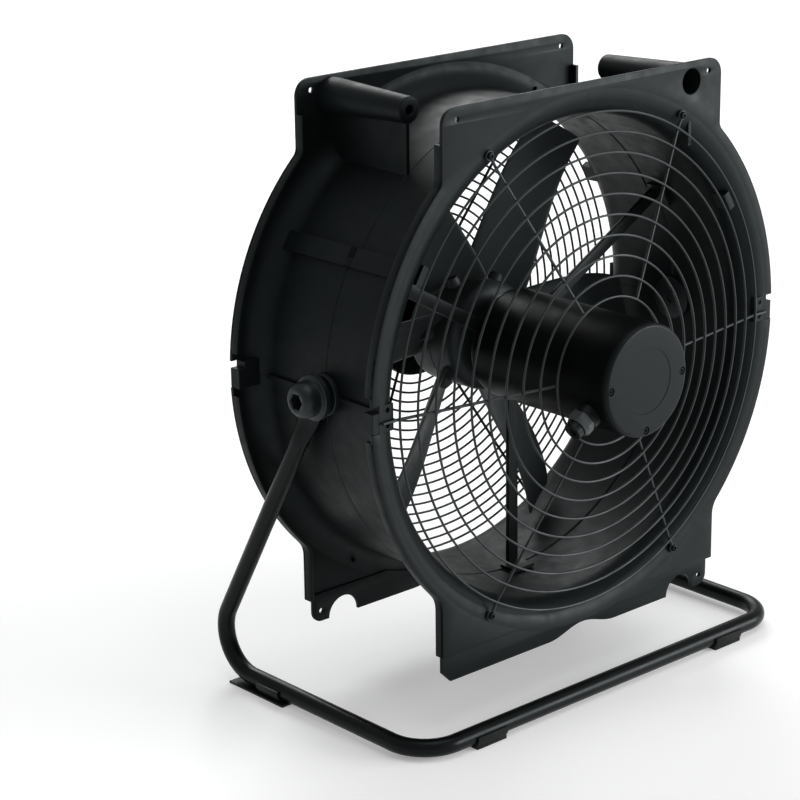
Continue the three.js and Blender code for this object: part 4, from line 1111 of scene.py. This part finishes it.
piece("stand_bent_tube", stand_frame(), tube_mat, "stand", "stand_tube", crease=50)
front_clip, heel = clip(CLIP_LENGTH), heel_plate()
for side, name in ((-1, "left"), (1, "right")):
    clip_place = moved(side * CLIP_PLACE, STAND_FRONT, 0) @ QUARTER_TURN
    piece(f"clip_{name}", front_clip.turned(clip_place), rubber_mat, "stand", f"foot_clip_{name}")
    piece(f"heel_{name}", heel.turned(moved(side * STAND_HALF, 0, 0)), heel_mat, "stand",
          f"heel_plate_{name}")


# ------------------------------------------------------------------ pivots and knobs

def spool():
    """Flanged bush in the drum's right side, which the stand's flat end bears on."""
    inner = sqrt(BORE_FLAT ** 2 - SPOOL_INNER_R ** 2) - GAP
    back, collar, bore = inner - SPOOL_INNER_T, DRUM_OUT + GAP, PIVOT_BORE
    section = [(bore, back), (SPOOL_INNER_R - 0.6, back), (SPOOL_INNER_R, back + 0.6), (SPOOL_INNER_R, inner),
               (SPOOL_NECK_R, inner), (SPOOL_NECK_R, collar), (SPOOL_COLLAR_R, collar),
               (SPOOL_COLLAR_R, COLLAR_X - 0.6), (SPOOL_COLLAR_R - 0.6, COLLAR_X), (bore, COLLAR_X)]
    return lathe(section, 72).turned(Y_TO_X)


def knob():
    """Clamp knob on the right, with a rounded cap, a hexagon socket and a stud."""
    stud_end, seat, disc, top = DRUM_BORE - 4, SEAT_X, SEAT_X + KNOB_DISC, SEAT_X + KNOB_HEIGHT
    dome, floor = disc + 7, top - SOCKET_DEPTH
    turns = [pi / 2 * i / 12 for i in range(13)]

    def section(t):
        socket = hexagon(SOCKET_R, t)
        cap = [(KNOB_DOME_R - 8 + 8 * cos(a), dome + (top - dome) * sin(a)) for a in turns]
        return [(0, stud_end), (STUD_R, stud_end), (STUD_R, seat), (KNOB_R - 1.2, seat), (KNOB_R, seat + 1.2),
                (KNOB_R, disc - 1.6), (KNOB_R - 1.4, disc), (KNOB_DOME_R + 1.2, disc + 0.3),
                (KNOB_DOME_R + 0.2, disc + 1.2), (KNOB_DOME_R, disc + 3), *cap, (socket + 1, top),
                (socket, top - 0.8), (socket, floor), (0, floor)]
    return lathe(section, 96).turned(Y_TO_X)


for name, turn in (("right", None), ("left", HALF_TURN)):
    piece(f"pivot_bush_{name}", Shape().merge(spool(), turn), knob_mat, "housing", f"pivot_spool_{name}")
    piece(f"clamp_knob_{name}", Shape().merge(knob(), turn), knob_mat, f"knob_{name}", f"knob_{name}")


# ------------------------------------------------------------------ hidden solids, shown as they are

def finish_node(name, material):
    node = frame["nodes"][name]
    node.data.materials.clear()
    node.data.materials.append(material)


finish_node("stator", copper_mat)
for name in ("rotor", "bearing_front", "bearing_rear"):
    finish_node(name, steel_mat)


# ------------------------------------------------------------------ camera, light and floor, in metres

def aim():
    """Camera of the photograph: place, direction, roll and lens."""
    eye = Vector((-1.7948, -1.8210, 1.1178))
    target = Vector((-0.1601, 0.0101, 0.3319))
    roll = radians(-0.8)
    ahead = (target - eye).normalized()
    level = ahead.cross(Vector((0, 0, 1))).normalized()
    above = level.cross(ahead)
    right = level * cos(roll) + above * sin(roll)
    up = above * cos(roll) - level * sin(roll)
    camera = bpy.data.cameras.new("camera")
    camera.lens = 111.94
    camera.sensor_width = 36
    camera.shift_x = -0.00175
    camera.shift_y = -0.003
    camera.clip_end = 200
    holder = bpy.data.objects.new("camera", camera)
    holder.matrix_world = Matrix.Translation(eye) @ Matrix((right, up, -ahead)).transposed().to_4x4()
    bpy.context.scene.collection.objects.link(holder)
    bpy.context.scene.camera = holder


def lamp(name, place, target, size, power):
    light = bpy.data.lights.new(name, "AREA")
    light.shape = "RECTANGLE"
    light.size, light.size_y = size
    light.energy = power
    holder = bpy.data.objects.new(name, light)
    holder.location = place
    ahead = Vector(target) - Vector(place)
    holder.rotation_euler = ahead.to_track_quat("-Z", "Y").to_euler()
    bpy.context.scene.collection.objects.link(holder)


def lay_floor():
    """Wide white floor with a faint glow of its own, which lifts the soft shadows."""
    half = 40
    corners = [(-half, -half, 0), (half, -half, 0), (half, half, 0), (-half, half, 0)]
    mesh = bpy.data.meshes.new("floor")
    mesh.from_pydata(corners, [], [[0, 1, 2, 3]])
    material, nodes, links, main = shader("floor", (0.86, 0.86, 0.86), 0.55, specular=0.3)
    tone = ramp(nodes, links, noise(nodes, links, 0.5, 2), (0.85, 0.85, 0.85), (0.87, 0.87, 0.87))
    links.new(tone, main.inputs["Base Color"])
    main.inputs["Emission Color"].default_value = (1, 1, 1, 1)
    main.inputs["Emission Strength"].default_value = 0.24
    mesh.materials.append(material)
    floor = bpy.data.objects.new("floor", mesh)
    bpy.context.scene.collection.objects.link(floor)


def light_studio():
    """Soft even daylight, with the strongest lamp low at the front right."""
    world_light = bpy.data.worlds.new("studio")
    world_light.use_nodes = True
    background = world_light.node_tree.nodes["Background"]
    background.inputs["Color"].default_value = (1, 1, 1, 1)
    background.inputs["Strength"].default_value = 0.42
    bpy.context.scene.world = world_light
    lamp("front", (2.4, -2.6, 0.9), (0, -0.1, 0.35), (2.4, 1.4), 108)
    lamp("top", (0.2, -0.6, 3.4), (0.1, -0.2, 0), (2.4, 2.4), 25)
    lamp("back", (2.0, 3.6, 3.0), (1.0, 2.6, 0), (3.0, 2.0), 110)
    bpy.context.scene.view_settings.view_transform = "Standard"


aim()
lay_floor()
light_studio()
